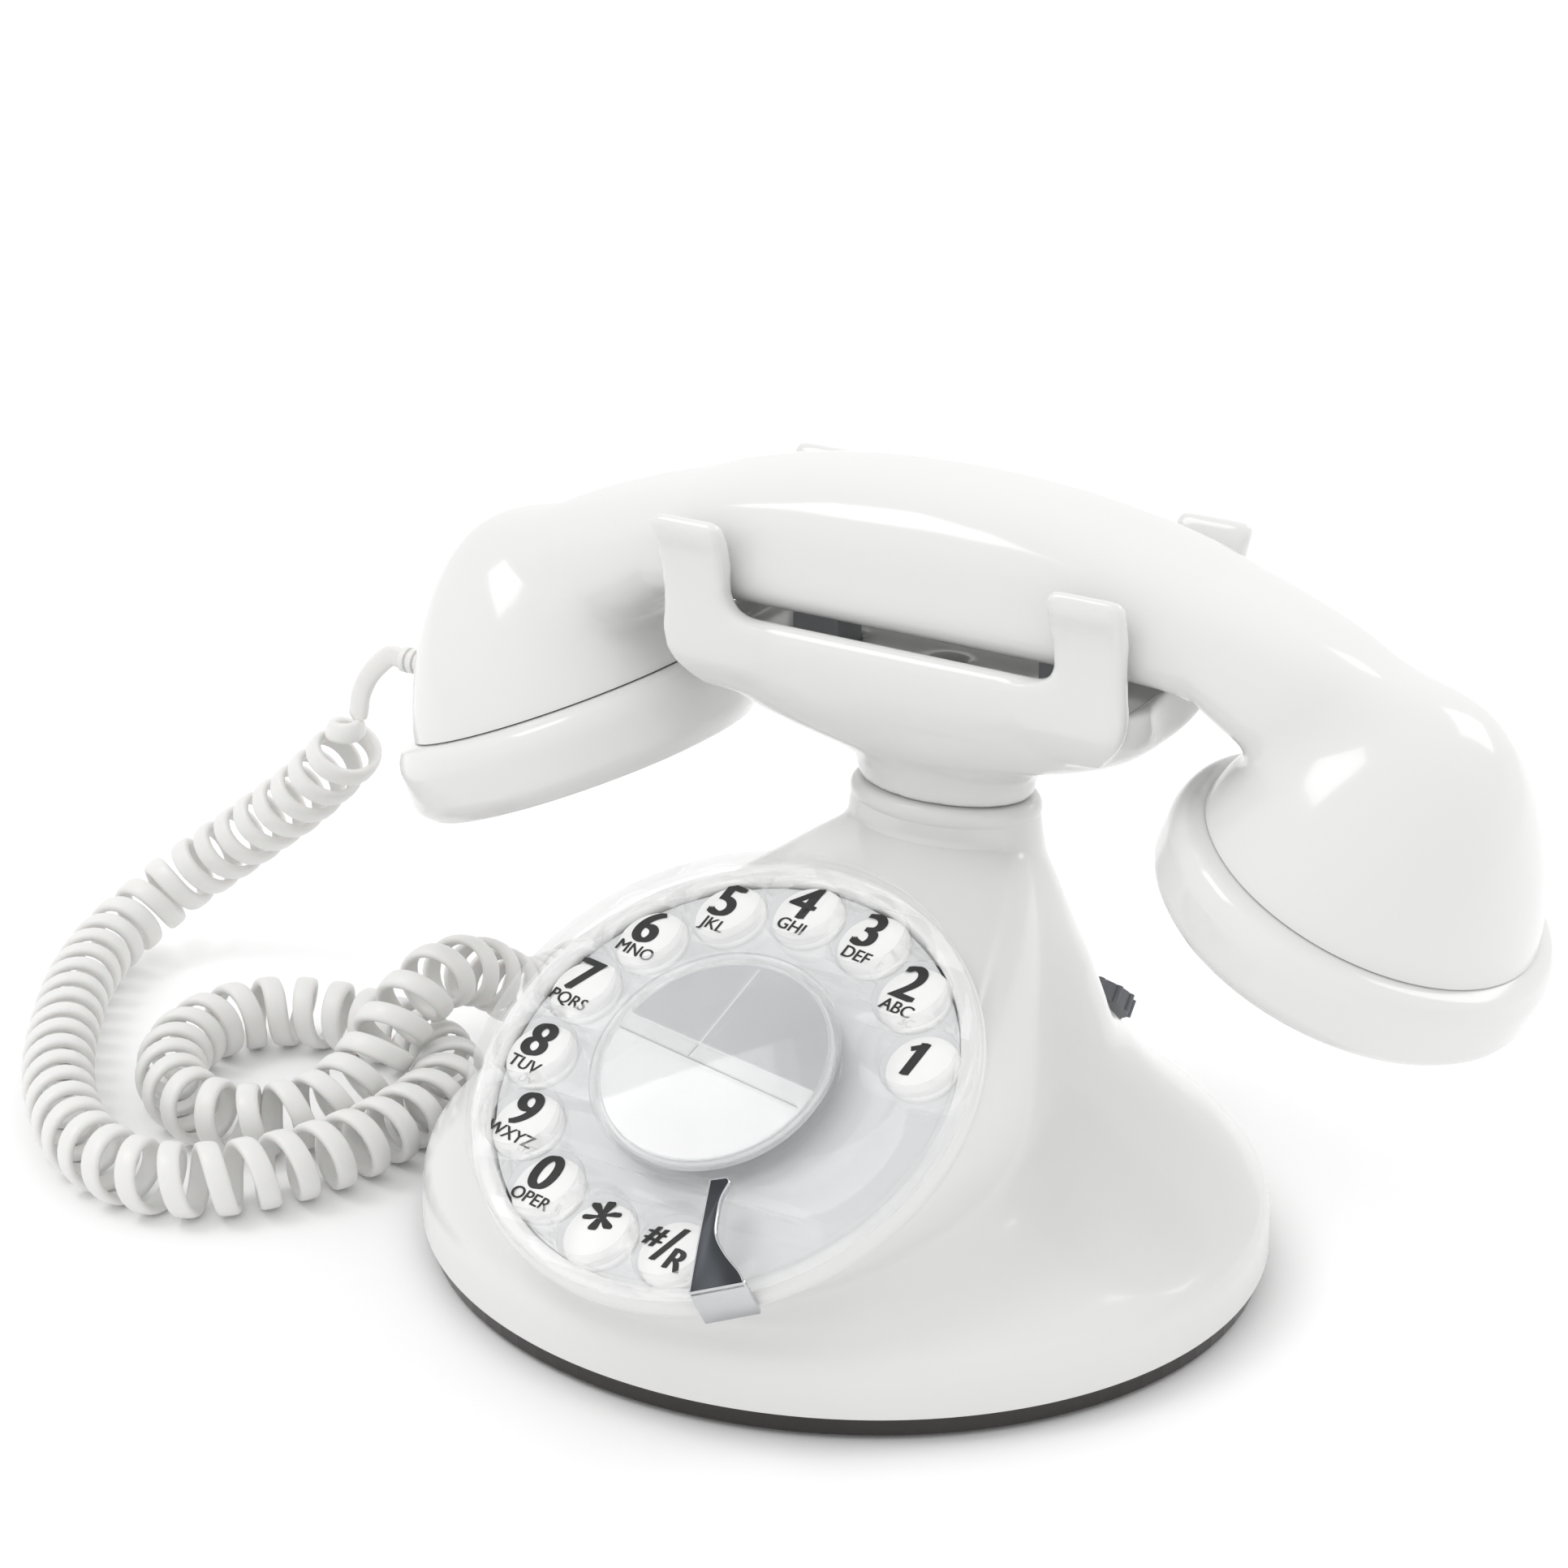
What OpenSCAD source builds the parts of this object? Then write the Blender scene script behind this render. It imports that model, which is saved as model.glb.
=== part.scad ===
// Desk telephone with an oval bell-shaped base, a four-prong cradle,
// a tilted rotary dial with a clear finger wheel, and a handset on a curly cord.
// Millimetres. +Z is up, the dial faces -Y, and z = 0 is the table.

/* [Base] */
// Half width of the base at its foot
base_rx = 73.8; // [65:0.1:80]
// Half depth of the base at its foot
base_ry = 68.5; // [60:0.1:75]
// Distance of the base's centre behind the origin
base_y = 4; // [3:0.5:5]
// Height of the rubber feet
foot_h = 1; // [0.8:0.1:2]
// Height at which the white shell meets the black base plate
rim_z = 4.5; // [4:0.1:6]
// Wall thickness of the moulded shells
wall = 2.4; // [2:0.1:3]

/* [Neck and cradle] */
// Distance of the neck and cradle behind the origin
neck_y = 38; // [37:0.5:39]
// Half width of the neck ring
ring_rx = 17.8; // [17:0.1:19]
// Half depth of the neck ring
ring_ry = 12.2; // [11.5:0.1:13]
// Height of the neck ring's middle
ring_z = 68; // [67:0.5:69]
// Half length of the cradle
cradle_x = 45.5; // [45:0.1:46]
// Height at which the cradle's side walls start to round over
cradle_z = 100; // [99.5:0.1:100.2]
// Height of the trough's floor
trough_z = 93.5; // [92:0.5:94]
// Height of the prong tips
prong_z = 119; // [116:0.5:121]
// Width of a prong
prong_w = 13; // [11:0.5:14]
// Distance from the middle to a prong's inner edge
prong_x = 31; // [29:0.5:32]

/* [Dial] */
// Distance of the dial's centre from the origin, towards the front
dial_y = -36.2; // [-37:0.1:-35]
// Height of the dial's centre
dial_z = 48.9; // [48:0.1:50]
// Tilt of the dial's face from level
dial_tilt = 31.3; // [28:0.1:34]
// Radius of the finger wheel
wheel_r = 42.5; // [40:0.1:43]
// Radius of the circle of finger holes
hole_ring_r = 33.1; // [32:0.1:34]
// Radius of a finger hole
hole_r = 6.6; // [6:0.1:7]
// Number of finger holes
holes = 12; // [10:1:12]
// Angle of the first finger hole
first_hole = 20.2; // [18:0.1:24]
// Angle between neighbouring finger holes
hole_step = 24.05; // [24:0.01:24.3]
// Radius of the centre card
card_r = 19.6; // [18:0.1:20]
// Direction of the finger stop
stop_angle = -60; // [-62:0.5:-58]
// Teeth of the drive gear
gear_teeth = 48; // [48:12:60]
// Teeth of the governor pinion
pinion_teeth = 12; // [12:1:12]

/* [Handset] */
// Distance from the middle to a dome's seam centre
seam_x = 79.5; // [78:0.5:81]
// Height of a dome's seam centre
seam_z = 73; // [72:0.5:74]
// Inward tilt of the domes
dome_tilt = 23; // [20:0.5:25]
// Radius of a dome at its seam
dome_r = 29.4; // [28:0.1:30]
// Height of a dome above its seam
dome_h = 33.6; // [32:0.1:35]
// Radius of the screwed-on caps
cap_r = 33.8; // [33:0.1:34]
// Thickness of the screwed-on caps
cap_h = 15; // [14:0.1:16]
// Height of the handle's crown
handle_top = 127; // [126:0.5:128]
// Height of the handle's flat underside
handle_bottom = 101.2; // [101:0.1:102]
// Half width of the handle
handle_ry = 17.4; // [16:0.1:17.5]

/* [Cord] */
// Outer diameter of the curled cord
curl_d = 13.4; // [12:0.1:14]
// Diameter of the straight leads
lead_d = 3.8; // [3.4:0.1:4]

/* [Hidden] */
$fn = 72;

floor_z = rim_z - 1.5;           // inside floor of the base plate
gap = 0.3;                       // clearance between parts that only pass each other
bezel_h = 4.6;                   // height of the white ring round the wheel
bezel_top = -4.4;                // its top, below the wheel's face
plate_z = -9;                    // seat of the number plate's rim, below the wheel's face
number_z = -5.8;                 // face of the number plate, just under the finger wheel
pad_h = 0.9;                     // height of the pads on it
flange_r = 38.8;                 // flange of the dial's works, under the bezel
cup_r = 35.5;                    // drum that holds the dial's works
cup_depth = 20;                  // its depth
pod_r = 40.5;                    // radius of the body's dial pod
gear_module = 0.7;
gear_z = -17;                    // underside of the gear pair, in the dial's frame
gear_w = 2.4;
shaft_r = 2.5;
hub_r = 4.95;                    // hub under the finger wheel
gear_r = gear_module * gear_teeth / 2;
pinion_r = gear_module * pinion_teeth / 2;
axle_x = gear_r + pinion_r + 0.12;   // distance between the gear pair's axes
axle_r = 1;
spring_z = -27.4;                // underside of the dial's return spring
stop_r = 43.3;                   // inner face of the finger stop's foot
stop_t = 1;
pin_r = 0.9;                     // pin that holds the finger stop's foot
hook_travel = 3;
stem_r = 5;
stem_bore = 3.2;
stem_top = 83.5;
nut_z = 57;
hook_rod_r = 2.6;
switch_z = 30;                   // top of the hook switch
collar_z = 38;                   // underside of the rod's collar
yoke_x = 32;                     // half length of the yoke that joins the plungers
yoke_z = 86.6;                   // its underside
collar_r = dome_r - wall - 1.1;  // collar of a cap, inside its dome
trough_y = 17.9;                 // half width of the trough
end_x = 41;                      // inner face of the trough's end walls
end_z = 97.5;                    // their height
scoop_x = seam_x - (cap_h - 3) * sin(dome_tilt);   // the space that a cap sweeps as it is lifted
scoop_rx = cap_r * cos(dome_tilt) + 1;
scoop_ry = cap_r + 1;
plunger_x = 24;                  // distance of the hook plungers from the middle
plunger_w = 9;
board_z = 12;
board_t = 1.6;
socket_x = 27;                   // distance of the rear sockets from the middle
socket_w = 12;
socket_h = 9.4;
socket_z = 5.6;
socket_y = 53.6;                 // front of the sockets' housings
knob_x = 16;
knob_y = 62.2;
knob_z = 21.3;
knob_tilt = -42.5;
knob_r = 7.3;
knob_gap = 2.2;                  // gap between the shell and the knob
knob_h = 3.2;
post_x = 44;                     // places of the screws and their posts
post_y = 30;
post_r = 4;
board_pin_x = 24;                // places of the board's pillars
board_pins_y = [18, 44];
foot_r = 6;
screw_r = 1.8;
wire_r = 0.9;

// Sections of the bell: height, half width, half depth, centre behind the base's centre
BELL = [
    [rim_z, 1, 1, 0], [10, 0.998, 0.996, 0], [14, 0.982, 0.978, 0], [16.5, 0.945, 0.94, 0.5],
    [19, 0.895, 0.89, 1.5], [22, 0.82, 0.82, 3], [25.5, 0.72, 0.74, 6], [29, 0.625, 0.66, 10],
    [33, 0.535, 0.55, 15], [38, 0.465, 0.45, 21], [44, 0.39, 0.35, 26.5], [50, 0.33, 0.265, 30.5],
    [56, 0.285, 0.215, 33], [62, 0.252, 0.185, 33.8], [67, 0.236, 0.17, 34]];

// Sections of the cradle: height, half length, half width, squareness
CRADLE = [
    [ring_z + 3, 16.6, 11, 2], [74, 16.4, 10.9, 2], [77, 18.4, 12, 2.1], [79.3, 23, 14, 2.3],
    [81.3, 29.5, 16, 2.6], [83.3, 35, 17.6, 3], [85.8, 39.5, 19.2, 3.4], [89, 42.8, 20.8, 4],
    [93.5, 44.9, 21.8, 5], [97, cradle_x - 0.2, 22, 6], [cradle_z, cradle_x, 22, 6],
    [cradle_z + 1.3, cradle_x - 1, 20.9, 6], [cradle_z + 2, cradle_x - 2.2, 19.6, 6]];

// Stations of the handle: distance from the middle, underside, crown, half width
HANDLE = [
    [-74, 86, 103, 10], [-66, 90, 111.5, 14.5], [-58, 93, 115.5, 15.5], [-51, 98.5, 118.6, 16.2],
    [-43, handle_bottom, 121.4, 16.8], [-30, handle_bottom, 124.4, 17.2],
    [-15, handle_bottom, handle_top - 0.6, handle_ry], [0, handle_bottom, handle_top, handle_ry],
    [15, handle_bottom, handle_top - 0.6, handle_ry], [30, handle_bottom, 124.4, 17.2],
    [43, handle_bottom, 121.4, 16.8], [51, 98.5, 118.6, 16.2], [58, 93, 115.5, 15.5],
    [66, 90, 111.5, 14.5], [74, 86, 103, 10]];

// Route of the handset's straight lead, from the relief to the first curl
LEAD_ROUTE = [[-116.8, 38, 71], [-119.5, 38, 71], [-122.5, 37.8, 68.5], [-124.8, 37.6, 65.6],
    [-126.4, 37.4, 62], [-127, 37, 58]];

// Route of the curled cord: down to the table, forward, along the base, round a loop, to the back
CURL_ROUTE = [
    [-127, 37, 58], [-129, 36, 51], [-135, 36, 44.5], [-142, 36.5, 38], [-149.5, 37, 32],
    [-157, 37, 26], [-164.5, 36, 20], [-171, 32.5, 14.5], [-174.5, 25.5, 10], [-174.5, 16, 7.6],
    [-171, 6, 7], [-165, -5, 7], [-157, -17, 7], [-148, -29, 7], [-137, -40.5, 7], [-125, -49.5, 7],
    [-113, -54, 7], [-102, -53.5, 7], [-93.5, -48, 7], [-87, -39, 7], [-82.5, -28, 7],
    [-80.5, -16, 7], [-81, -4, 7], [-85, 6, 7], [-94, 12, 7], [-105, 14, 7], [-117, 13.5, 7],
    [-128, 9, 7], [-134, -1, 7], [-132.5, -13.5, 7], [-124.5, -24.5, 7], [-113, -30, 7],
    [-102, -27.5, 7], [-95.5, -18.5, 7.8], [-93.5, -8.5, 11], [-92, 1.5, 18.5], [-90.5, 12, 22.5],
    [-89.5, 23, 19], [-89, 34, 11], [-89, 45, 7.5], [-88.5, 57, 7], [-84, 69, 7], [-74, 79, 7],
    [-61, 83, 7], [-49, 84, 7.6]];

// Route of the lead from the last curl to the plug in the base's back
BASE_LEAD_ROUTE = [[-49, 84, 7.6], [-42, 84.4, 8.2], [-36, 84, 9], [-31.5, 81.8, 9.8],
    [-28.4, 78.6, 10.2], [-27.2, 75.6, 10.3], [-27, 72.2, 10.3]];

function ellipse(rx, ry, cy, n, p = 2) = [for (i = [0:n - 1]) let (a = 360 * i / n)
    [rx * sign(cos(a)) * pow(abs(cos(a)), 2 / p), cy + ry * sign(sin(a)) * pow(abs(sin(a)), 2 / p)]];

function raise(points, z) = [for (p = points) [p[0], p[1], z]];

// A closed solid through rings of equal length
module loft(rings) {
    n = len(rings[0]);
    m = len(rings);
    faces = concat([[for (i = [0:n - 1]) i]],
        [for (j = [0:m - 2], i = [0:n - 1]) let (k = (i + 1) % n)
            [j * n + i, (j + 1) * n + i, (j + 1) * n + k]],
        [for (j = [0:m - 2], i = [0:n - 1]) let (k = (i + 1) % n)
            [j * n + i, (j + 1) * n + k, j * n + k]],
        [[for (i = [n - 1:-1:0]) (m - 1) * n + i]]);
    polyhedron([for (r = rings) each r], faces);
}

function unit(v) = v / norm(v);

// Directions of travel along a route, and the frame carried along it
function route_tangents(route) = [for (i = [0:len(route) - 1])
    unit(route[min(i + 1, len(route) - 1)] - route[max(i - 1, 0)])];
function side_start(t) = unit(cross(t, abs(t[2]) > 0.9 ? [0, 1, 0] : [0, 0, 1]));
function carry(t, side) = unit(side - (side * t) * t);
function route_sides(tangents, i = 0, acc = []) = i == len(tangents) ? acc
    : route_sides(tangents, i + 1,
        concat(acc, [i == 0 ? side_start(tangents[0]) : carry(tangents[i], acc[i - 1])]));

// A round cord swept along a route
module cord_tube(route, d, sides) {
    t = route_tangents(route);
    s = route_sides(t);
    loft([for (i = [0:len(route) - 1]) let (u = s[i], v = cross(t[i], u))
        [for (k = [sides - 1:-1:0]) let (a = 360 * k / sides)
            route[i] + d / 2 * (cos(a) * u + sin(a) * v)]]);
}

module at_dial() translate([0, dial_y, dial_z]) rotate([dial_tilt, 0, 0]) children();

module dial_drum(r, top, bottom) translate([0, 0, bottom]) cylinder(r = r, h = top - bottom);

// Places a child on the right dome (side = 1) or the left one (side = -1)
module at_dome(side) translate([side * seam_x, neck_y, seam_z])
    rotate([0, side * dome_tilt, 0]) children();

module bell(inset, top_cut) loft([for (s = BELL) if (s[0] <= top_cut)
    raise(ellipse(base_rx * s[1] - inset, base_ry * s[2] - inset, base_y + s[3], 48),
        s[0] == rim_z ? s[0] - (inset > 0 ? 1 : 0) : s[0] - inset / 2)]);

module pod(inset) hull() {
    at_dial() dial_drum(pod_r - inset, bezel_top - bezel_h - inset, bezel_top - bezel_h - inset - 1);
    translate([0, base_y - 6, 19]) cylinder(r = 44 - inset, h = 1);
    translate([0, neck_y, 20]) linear_extrude(43 - inset) polygon(ellipse(17 - inset, 12 - inset, 0, 48));
}

module rubber_feet() color("#1c1b1a")
    for (x = [-44, 44], y = [-42, 42]) translate([x, base_y + y, 0]) cylinder(r = foot_r, h = foot_h);

module base_plate() color("#2a2423") difference() {
    union() {
        translate([0, 0, foot_h])
            linear_extrude(rim_z - foot_h) polygon(ellipse(base_rx - 1.3, base_ry - 1.3, base_y, 96));
        for (x = [-1, 1], y = board_pins_y)
            translate([x * board_pin_x, base_y + y, floor_z]) cylinder(r = 3, h = board_z - 0.05 - floor_z);
    }
    difference() {
        translate([0, 0, floor_z]) linear_extrude(10) polygon(ellipse(base_rx - 8, base_ry - 8, base_y, 96));
        at_posts() cylinder(r = post_r, h = rim_z - 0.05);
        for (x = [-1, 1], y = board_pins_y)
            translate([x * board_pin_x, base_y + y, 0]) cylinder(r = 3, h = board_z - 0.05);
    }
    at_posts() cylinder(r = screw_r + 0.1, h = 12);
    at_posts() cylinder(r = 3.3, h = foot_h + 1.45);
    for (x = [-4:1:4], y = [-2:1:2])
        translate([x * 4, base_y - 20 + y * 4, 0]) cylinder(r = 1, h = 12);
}

module at_posts() for (x = [-post_x, post_x], y = [-post_y, post_y])
    translate([x, base_y + y, 0]) children();

module base_screws() color("#9a9c9e") at_posts() translate([0, 0, foot_h - 0.2]) {
        difference() {
            cylinder(r = 3.2, h = 1.6);
            translate([-2.4, -0.4, -0.1]) cube([4.8, 0.8, 0.9]);
        }
        cylinder(r = screw_r, h = 9);
    }

module ballast_plate() color("#7d8083") translate([0, base_y, floor_z + 0.05]) difference() {
    translate([-34, -3, 0]) cube([68, 50, 3]);
    for (x = [-1, 1], y = board_pins_y) translate([x * board_pin_x, y, -1]) cylinder(r = 3.4, h = 5);
}

module body_shell() color("#f0f0ee") difference() {
    union() {
        bell(0, 70);
        pod(0);
    }
    difference() {
        union() {
            bell(wall, 50);
            pod(wall);
        }
        at_posts() translate([0, 0, rim_z]) cylinder(r = post_r, h = 40);
    }
    at_posts() cylinder(r = screw_r + 0.05, h = 11);
    at_dial() dial_drum(cup_r + gap, 5, plate_z - cup_depth - 2);
    at_dial() dial_drum(flange_r + gap, 5, plate_z - 2.8);
    translate([0, neck_y, 40]) cylinder(r = stem_r + 0.05, h = 40);
    for (side = [-1, 1]) translate([side * socket_x, base_y + 60, socket_z + socket_h / 2])
        cube([socket_w + 0.2, 24, socket_h + 0.2], center = true);
    translate([knob_x, knob_y, knob_z]) rotate([knob_tilt, 0, 0])
        translate([0, 0, -10]) cylinder(r = 3.2, h = 14);
}

module neck_ring() color("#f2f2f0") difference() {
    loft([for (a = [-75:25:75]) raise(ellipse(ring_rx - 1.6 + 1.6 * cos(a), ring_ry - 1.6 + 1.6 * cos(a),
        neck_y, 48), ring_z + 1 + 2 * sin(a))]);
    translate([0, neck_y, ring_z - 3]) cylinder(r = stem_r + 0.05, h = 8);
}

module prong() rotate([90, 0, 90]) linear_extrude(prong_w) polygon([
    [18, trough_z - 3], [18.1, 104], [18.6, 110], [20, 115], [21.6, prong_z - 0.8], [22.8, prong_z],
    [24, prong_z - 0.2], [24.8, prong_z - 1.2], [24.7, prong_z - 2.6], [23.5, 113], [22.7, 108],
    [22.3, 103], [21.9, 96], [21.5, trough_z - 3]]);

module cradle() color("#f2f2f0") translate([0, neck_y, 0]) difference() {
    union() {
        loft([for (s = CRADLE) raise(ellipse(s[1], s[2], 0, 60, s[3]), s[0])]);
        for (sx = [0, 1], sy = [0, 1]) mirror([sx, 0, 0]) mirror([0, sy, 0])
            translate([prong_x, 0, 0]) prong();
    }
    translate([-end_x, -trough_y, trough_z]) cube([2 * end_x, 2 * trough_y, 40]);
    translate([-60, -trough_y, end_z]) cube([120, 2 * trough_y, 40]);
    for (side = [-1, 1]) translate([side * scoop_x, 0, ring_z])
        linear_extrude(60) polygon(ellipse(scoop_rx, scoop_ry, 0, 96));
    translate([-yoke_x - 2, -14, yoke_z - gap]) cube([2 * yoke_x + 4, 28, hook_travel + 2]);
    cylinder(r = stem_r + 0.05, h = stem_top + 0.5);
    translate([0, 0, 70]) cylinder(r = hook_rod_r + gap, h = 20);
    for (x = [-plunger_x, plunger_x])
        translate([x - plunger_w / 2 - gap, -4 - gap, 88]) cube([plunger_w + 2 * gap, 8 + 2 * gap, 10]);
}

module stem_tube() color("#b9bbbd") translate([0, neck_y, nut_z - 2]) difference() {
    cylinder(r = stem_r, h = stem_top - nut_z + 2);
    translate([0, 0, -1]) cylinder(r = stem_bore, h = 40);
}

module stem_nut() color("#b9bbbd") translate([0, neck_y, nut_z]) difference() {
    cylinder(r = 8.8, h = 3.4, $fn = 6);
    translate([0, 0, -1]) cylinder(r = stem_r + 0.03, h = 6);
}

module main_board() color("#1f5c3a") translate([-28, base_y + 14, board_z]) difference() {
    cube([56, 34, board_t]);
    for (x = [4, 52], y = [4, 30]) translate([x, y, -1]) cylinder(r = 1.6, h = 4);
}

module board_parts() color("#23262a") translate([-28, base_y + 14, board_z + board_t]) {
    translate([5, 4, 0]) cube([14, 8, 2.6]);
    translate([38, 21, 0]) cube([9, 9, 3]);
    translate([36, 8, 0]) cylinder(r = 4, h = 7);
    translate([46, 10, 0]) cylinder(r = 2.5, h = 6);
}

module sounder() color("#2c2c2e") translate([0, base_y - 20, floor_z + 0.05]) difference() {
    cylinder(r = 15, h = 6);
    translate([0, 0, -1]) cylinder(r = 12.5, h = 3);
}

// A socket's housing, trimmed just inside the shell's outer face
module socket_body(side) intersection() {
    translate([side * socket_x, socket_y, socket_z]) difference() {
        translate([-socket_w / 2, 0, 0]) cube([socket_w, 13, socket_h]);
        translate([-3.4, 5, 1.6]) cube([6.8, 10, 6.2]);
    }
    bell(0.2, 70);
}

module line_socket() color("#2a2a2c") socket_body(1);

module cord_socket() color("#2a2a2c") socket_body(-1);

module cord_plug() color("#e9e9e6") translate([-socket_x, socket_y, socket_z]) {
    translate([-3.2, 5.1, 1.8]) cube([6.4, 10.5, 5.8]);
    translate([0, 15.6, 4.7]) rotate([-90, 0, 0]) cylinder(r = 2.4, h = 3);
}

module dial_bezel() color("#f4f4f2") at_dial() difference() {
    rotate_extrude() polygon(concat(
        [for (a = [-80:20:180]) [wheel_r - 1.1 + 1.5 * cos(a), bezel_top - 1.6 + 1.5 * sin(a)]],
        [[flange_r + 0.2, bezel_top - bezel_h], [wheel_r - 0.9, bezel_top - bezel_h]]));
    rotate(stop_angle) translate([40, 0, -6]) rotate([0, 90, 0]) cylinder(r = pin_r, h = 6);
}

module dial_cup() color("#b4b7ba") at_dial() difference() {
    union() {
        dial_drum(flange_r, plate_z - 1.4, plate_z - 2.8);
        dial_drum(cup_r, plate_z - 2.7, plate_z - cup_depth);
    }
    dial_drum(cup_r - 1.5, plate_z - 3, plate_z - cup_depth + 1.4);
    dial_drum(shaft_r + 0.06, 0, -60);
    translate([axle_x, 0, 0]) dial_drum(axle_r + 0.05, 0, -60);
}

module number_plate() color("#d0d1d1") at_dial() difference() {
    dial_drum(flange_r, number_z, plate_z - 1.35);
    dial_drum(hub_r + 0.4, 0, -60);
}

module number_pads() color("#ececea") at_dial() for (i = [0:holes - 1])
    rotate(first_hole + i * hole_step) translate([hole_ring_r, 0, number_z]) cylinder(r = 5.6, h = pad_h);

module finger_stop() color("#5b6066") at_dial() rotate(stop_angle) {
    translate([0, 0, 0.9]) linear_extrude(stop_t) polygon([
        [23.9, -1], [35, -3.1], [stop_r + stop_t, -4.8], [stop_r + stop_t, 4.2], [42.2, 3.6],
        [38.3, 1.2], [36.5, 0.3], [34.4, -0.3], [31, -0.1], [28, 0.8], [25.2, 2.5], [24.3, 2.1]]);
    difference() {
        translate([stop_r, -4.8, -7.2]) cube([stop_t, 9, 8.2]);
        translate([stop_r - 1, 0, -6]) rotate([0, 90, 0]) cylinder(r = pin_r, h = 4);
    }
}

module stop_screw() color("#9a9c9e") at_dial() rotate(stop_angle)
    translate([41.4, 0, -6]) rotate([0, 90, 0]) cylinder(r = pin_r, h = stop_r + stop_t - 41.45);

module mainspring() color("#8c8f92") at_dial() translate([0, 0, spring_z]) difference() {
    cylinder(r = 12, h = 4);
    translate([0, 0, -1]) cylinder(r = 4, h = 6);
}

module pulse_contacts() color("#c9b46a") at_dial() {
    translate([-24, 14, spring_z]) cube([8, 6, 8]);
    for (i = [0:2]) translate([-16.5, 15.5, spring_z + 2 + i * 2]) cube([12, 3, 0.6]);
}

module finger_wheel() color([0.93, 0.94, 0.94, 0.5]) at_dial() difference() {
    dial_drum(wheel_r, 0, -4);
    for (i = [0:holes - 1]) rotate(first_hole + i * hole_step) translate([hole_ring_r, 0, 0])
        dial_drum(hole_r, 1, -5);
    dial_drum(5, 1, -5);
    dial_drum(card_r + 0.3, 1, -2);
}

module dial_hub() color("#d9dadb") at_dial() difference() {
    union() {
        dial_drum(card_r, -0.4, -2);
        dial_drum(hub_r, -1.9, -7);
    }
    dial_drum(shaft_r, -3, -8);
}

module label_card() color("#b9b9ba") at_dial() dial_drum(card_r - 0.6, 0, -0.4);

module card_cover() color([0.95, 0.96, 0.96, 0.4]) at_dial() difference() {
    dial_drum(card_r + 1.4, 1.5, 0);
    dial_drum(card_r - 0.5, 0.6, -1);
}

module dial_shaft() color("#a7aaad") at_dial() dial_drum(shaft_r, -3, -28.6);

// A spur gear with straight-sided teeth and running backlash
module gear(teeth, width) linear_extrude(width) polygon([for (i = [0:teeth - 1],
    q = [[-0.33, -1.15], [-0.15, 0.85], [0.15, 0.85], [0.33, -1.15]])
    let (a = 360 * (i + q[0] * (q[1] > 0 ? 0.72 : 1)) / teeth, r = gear_module * (teeth / 2 + q[1]))
    [r * cos(a), r * sin(a)]]);

module drive_gear() color("#c8a955") at_dial() translate([0, 0, gear_z]) difference() {
    gear(gear_teeth, gear_w);
    translate([0, 0, -1]) cylinder(r = shaft_r, h = 6);
}

module at_governor() at_dial() translate([axle_x, 0, 0]) children();

module governor_pinion() color("#c8a955") at_governor() {
    translate([0, 0, gear_z]) rotate(180 / pinion_teeth) gear(pinion_teeth, gear_w);
    dial_drum(axle_r, plate_z - 1.6, plate_z - cup_depth + 0.6);
}

module governor_disc() color("#8f9396") at_governor() difference() {
    dial_drum(6.5, -19.8, -24);
    dial_drum(axle_r, 0, -60);
}

module hook_plungers() color("#8b8e91") translate([0, neck_y, yoke_z]) {
    for (x = [-plunger_x, plunger_x]) translate([x - plunger_w / 2, -4, 0])
        cube([plunger_w, 8, handle_bottom - gap - yoke_z]);
    translate([-yoke_x, -4, 0]) cube([2 * yoke_x, 8, 1.2]);
}

module hook_rod() color("#a7aaad") translate([0, neck_y, 0]) {
    translate([0, 0, switch_z + 3]) cylinder(r = hook_rod_r, h = yoke_z - switch_z - 3);
    translate([0, 0, collar_z]) cylinder(r = 4.4, h = 2);
}

module hook_spring() color("#a9adb0") translate([0, neck_y, switch_z + 0.05]) difference() {
    cylinder(r = 4.4, h = collar_z - switch_z - 0.1);
    translate([0, 0, -1]) cylinder(r = 3, h = 12);
}

module hook_switch() color("#2a2a2c") translate([0, neck_y, 0]) {
    translate([-4, -3, board_z + board_t + 0.05]) cube([8, 6, 9]);
    translate([-7, -4.6, switch_z - 8]) cube([14, 9.2, 8]);
    translate([0, 0, switch_z]) cylinder(r = 1.5, h = 2.8);
}

module at_knob() translate([knob_x, knob_y, knob_z]) rotate([knob_tilt, 0, 0]) children();

module volume_knob() color("#4a4c50") at_knob() difference() {
    union() {
        translate([0, 0, knob_gap]) cylinder(r = knob_r, h = knob_h);
        for (i = [0:11]) rotate(i * 30) translate([knob_r, 0, knob_gap])
            cylinder(r = 0.6, h = knob_h);
    }
    cylinder(r = 2, h = knob_gap + knob_h - 0.9);
}

module volume_shaft() color("#a7aaad") at_knob() translate([0, 0, -9])
    cylinder(r = 2, h = knob_gap + knob_h + 8);

module volume_control() color("#2f4f6f") at_knob() translate([0, 0, -9.4]) difference() {
    cylinder(r = 5, h = 5);
    translate([0, 0, 0.3]) cylinder(r = 2.06, h = 6);
}

// The dome ends in a tiny flat at its top
function dome_profile(inset) = concat([for (i = [0:16]) let (f = 1 - pow(1 - i / 16, 1.7))
    [(dome_r - inset) * sqrt(max(0.001, 1 - pow(f, 1.25))), (dome_h - inset) * f]],
    [[0, dome_h - inset]]);

module dome(inset) rotate_extrude() polygon(concat([[0, inset > 0 ? -1 : 0],
    [dome_r - inset, inset > 0 ? -1 : 0]], dome_profile(inset)));

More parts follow.
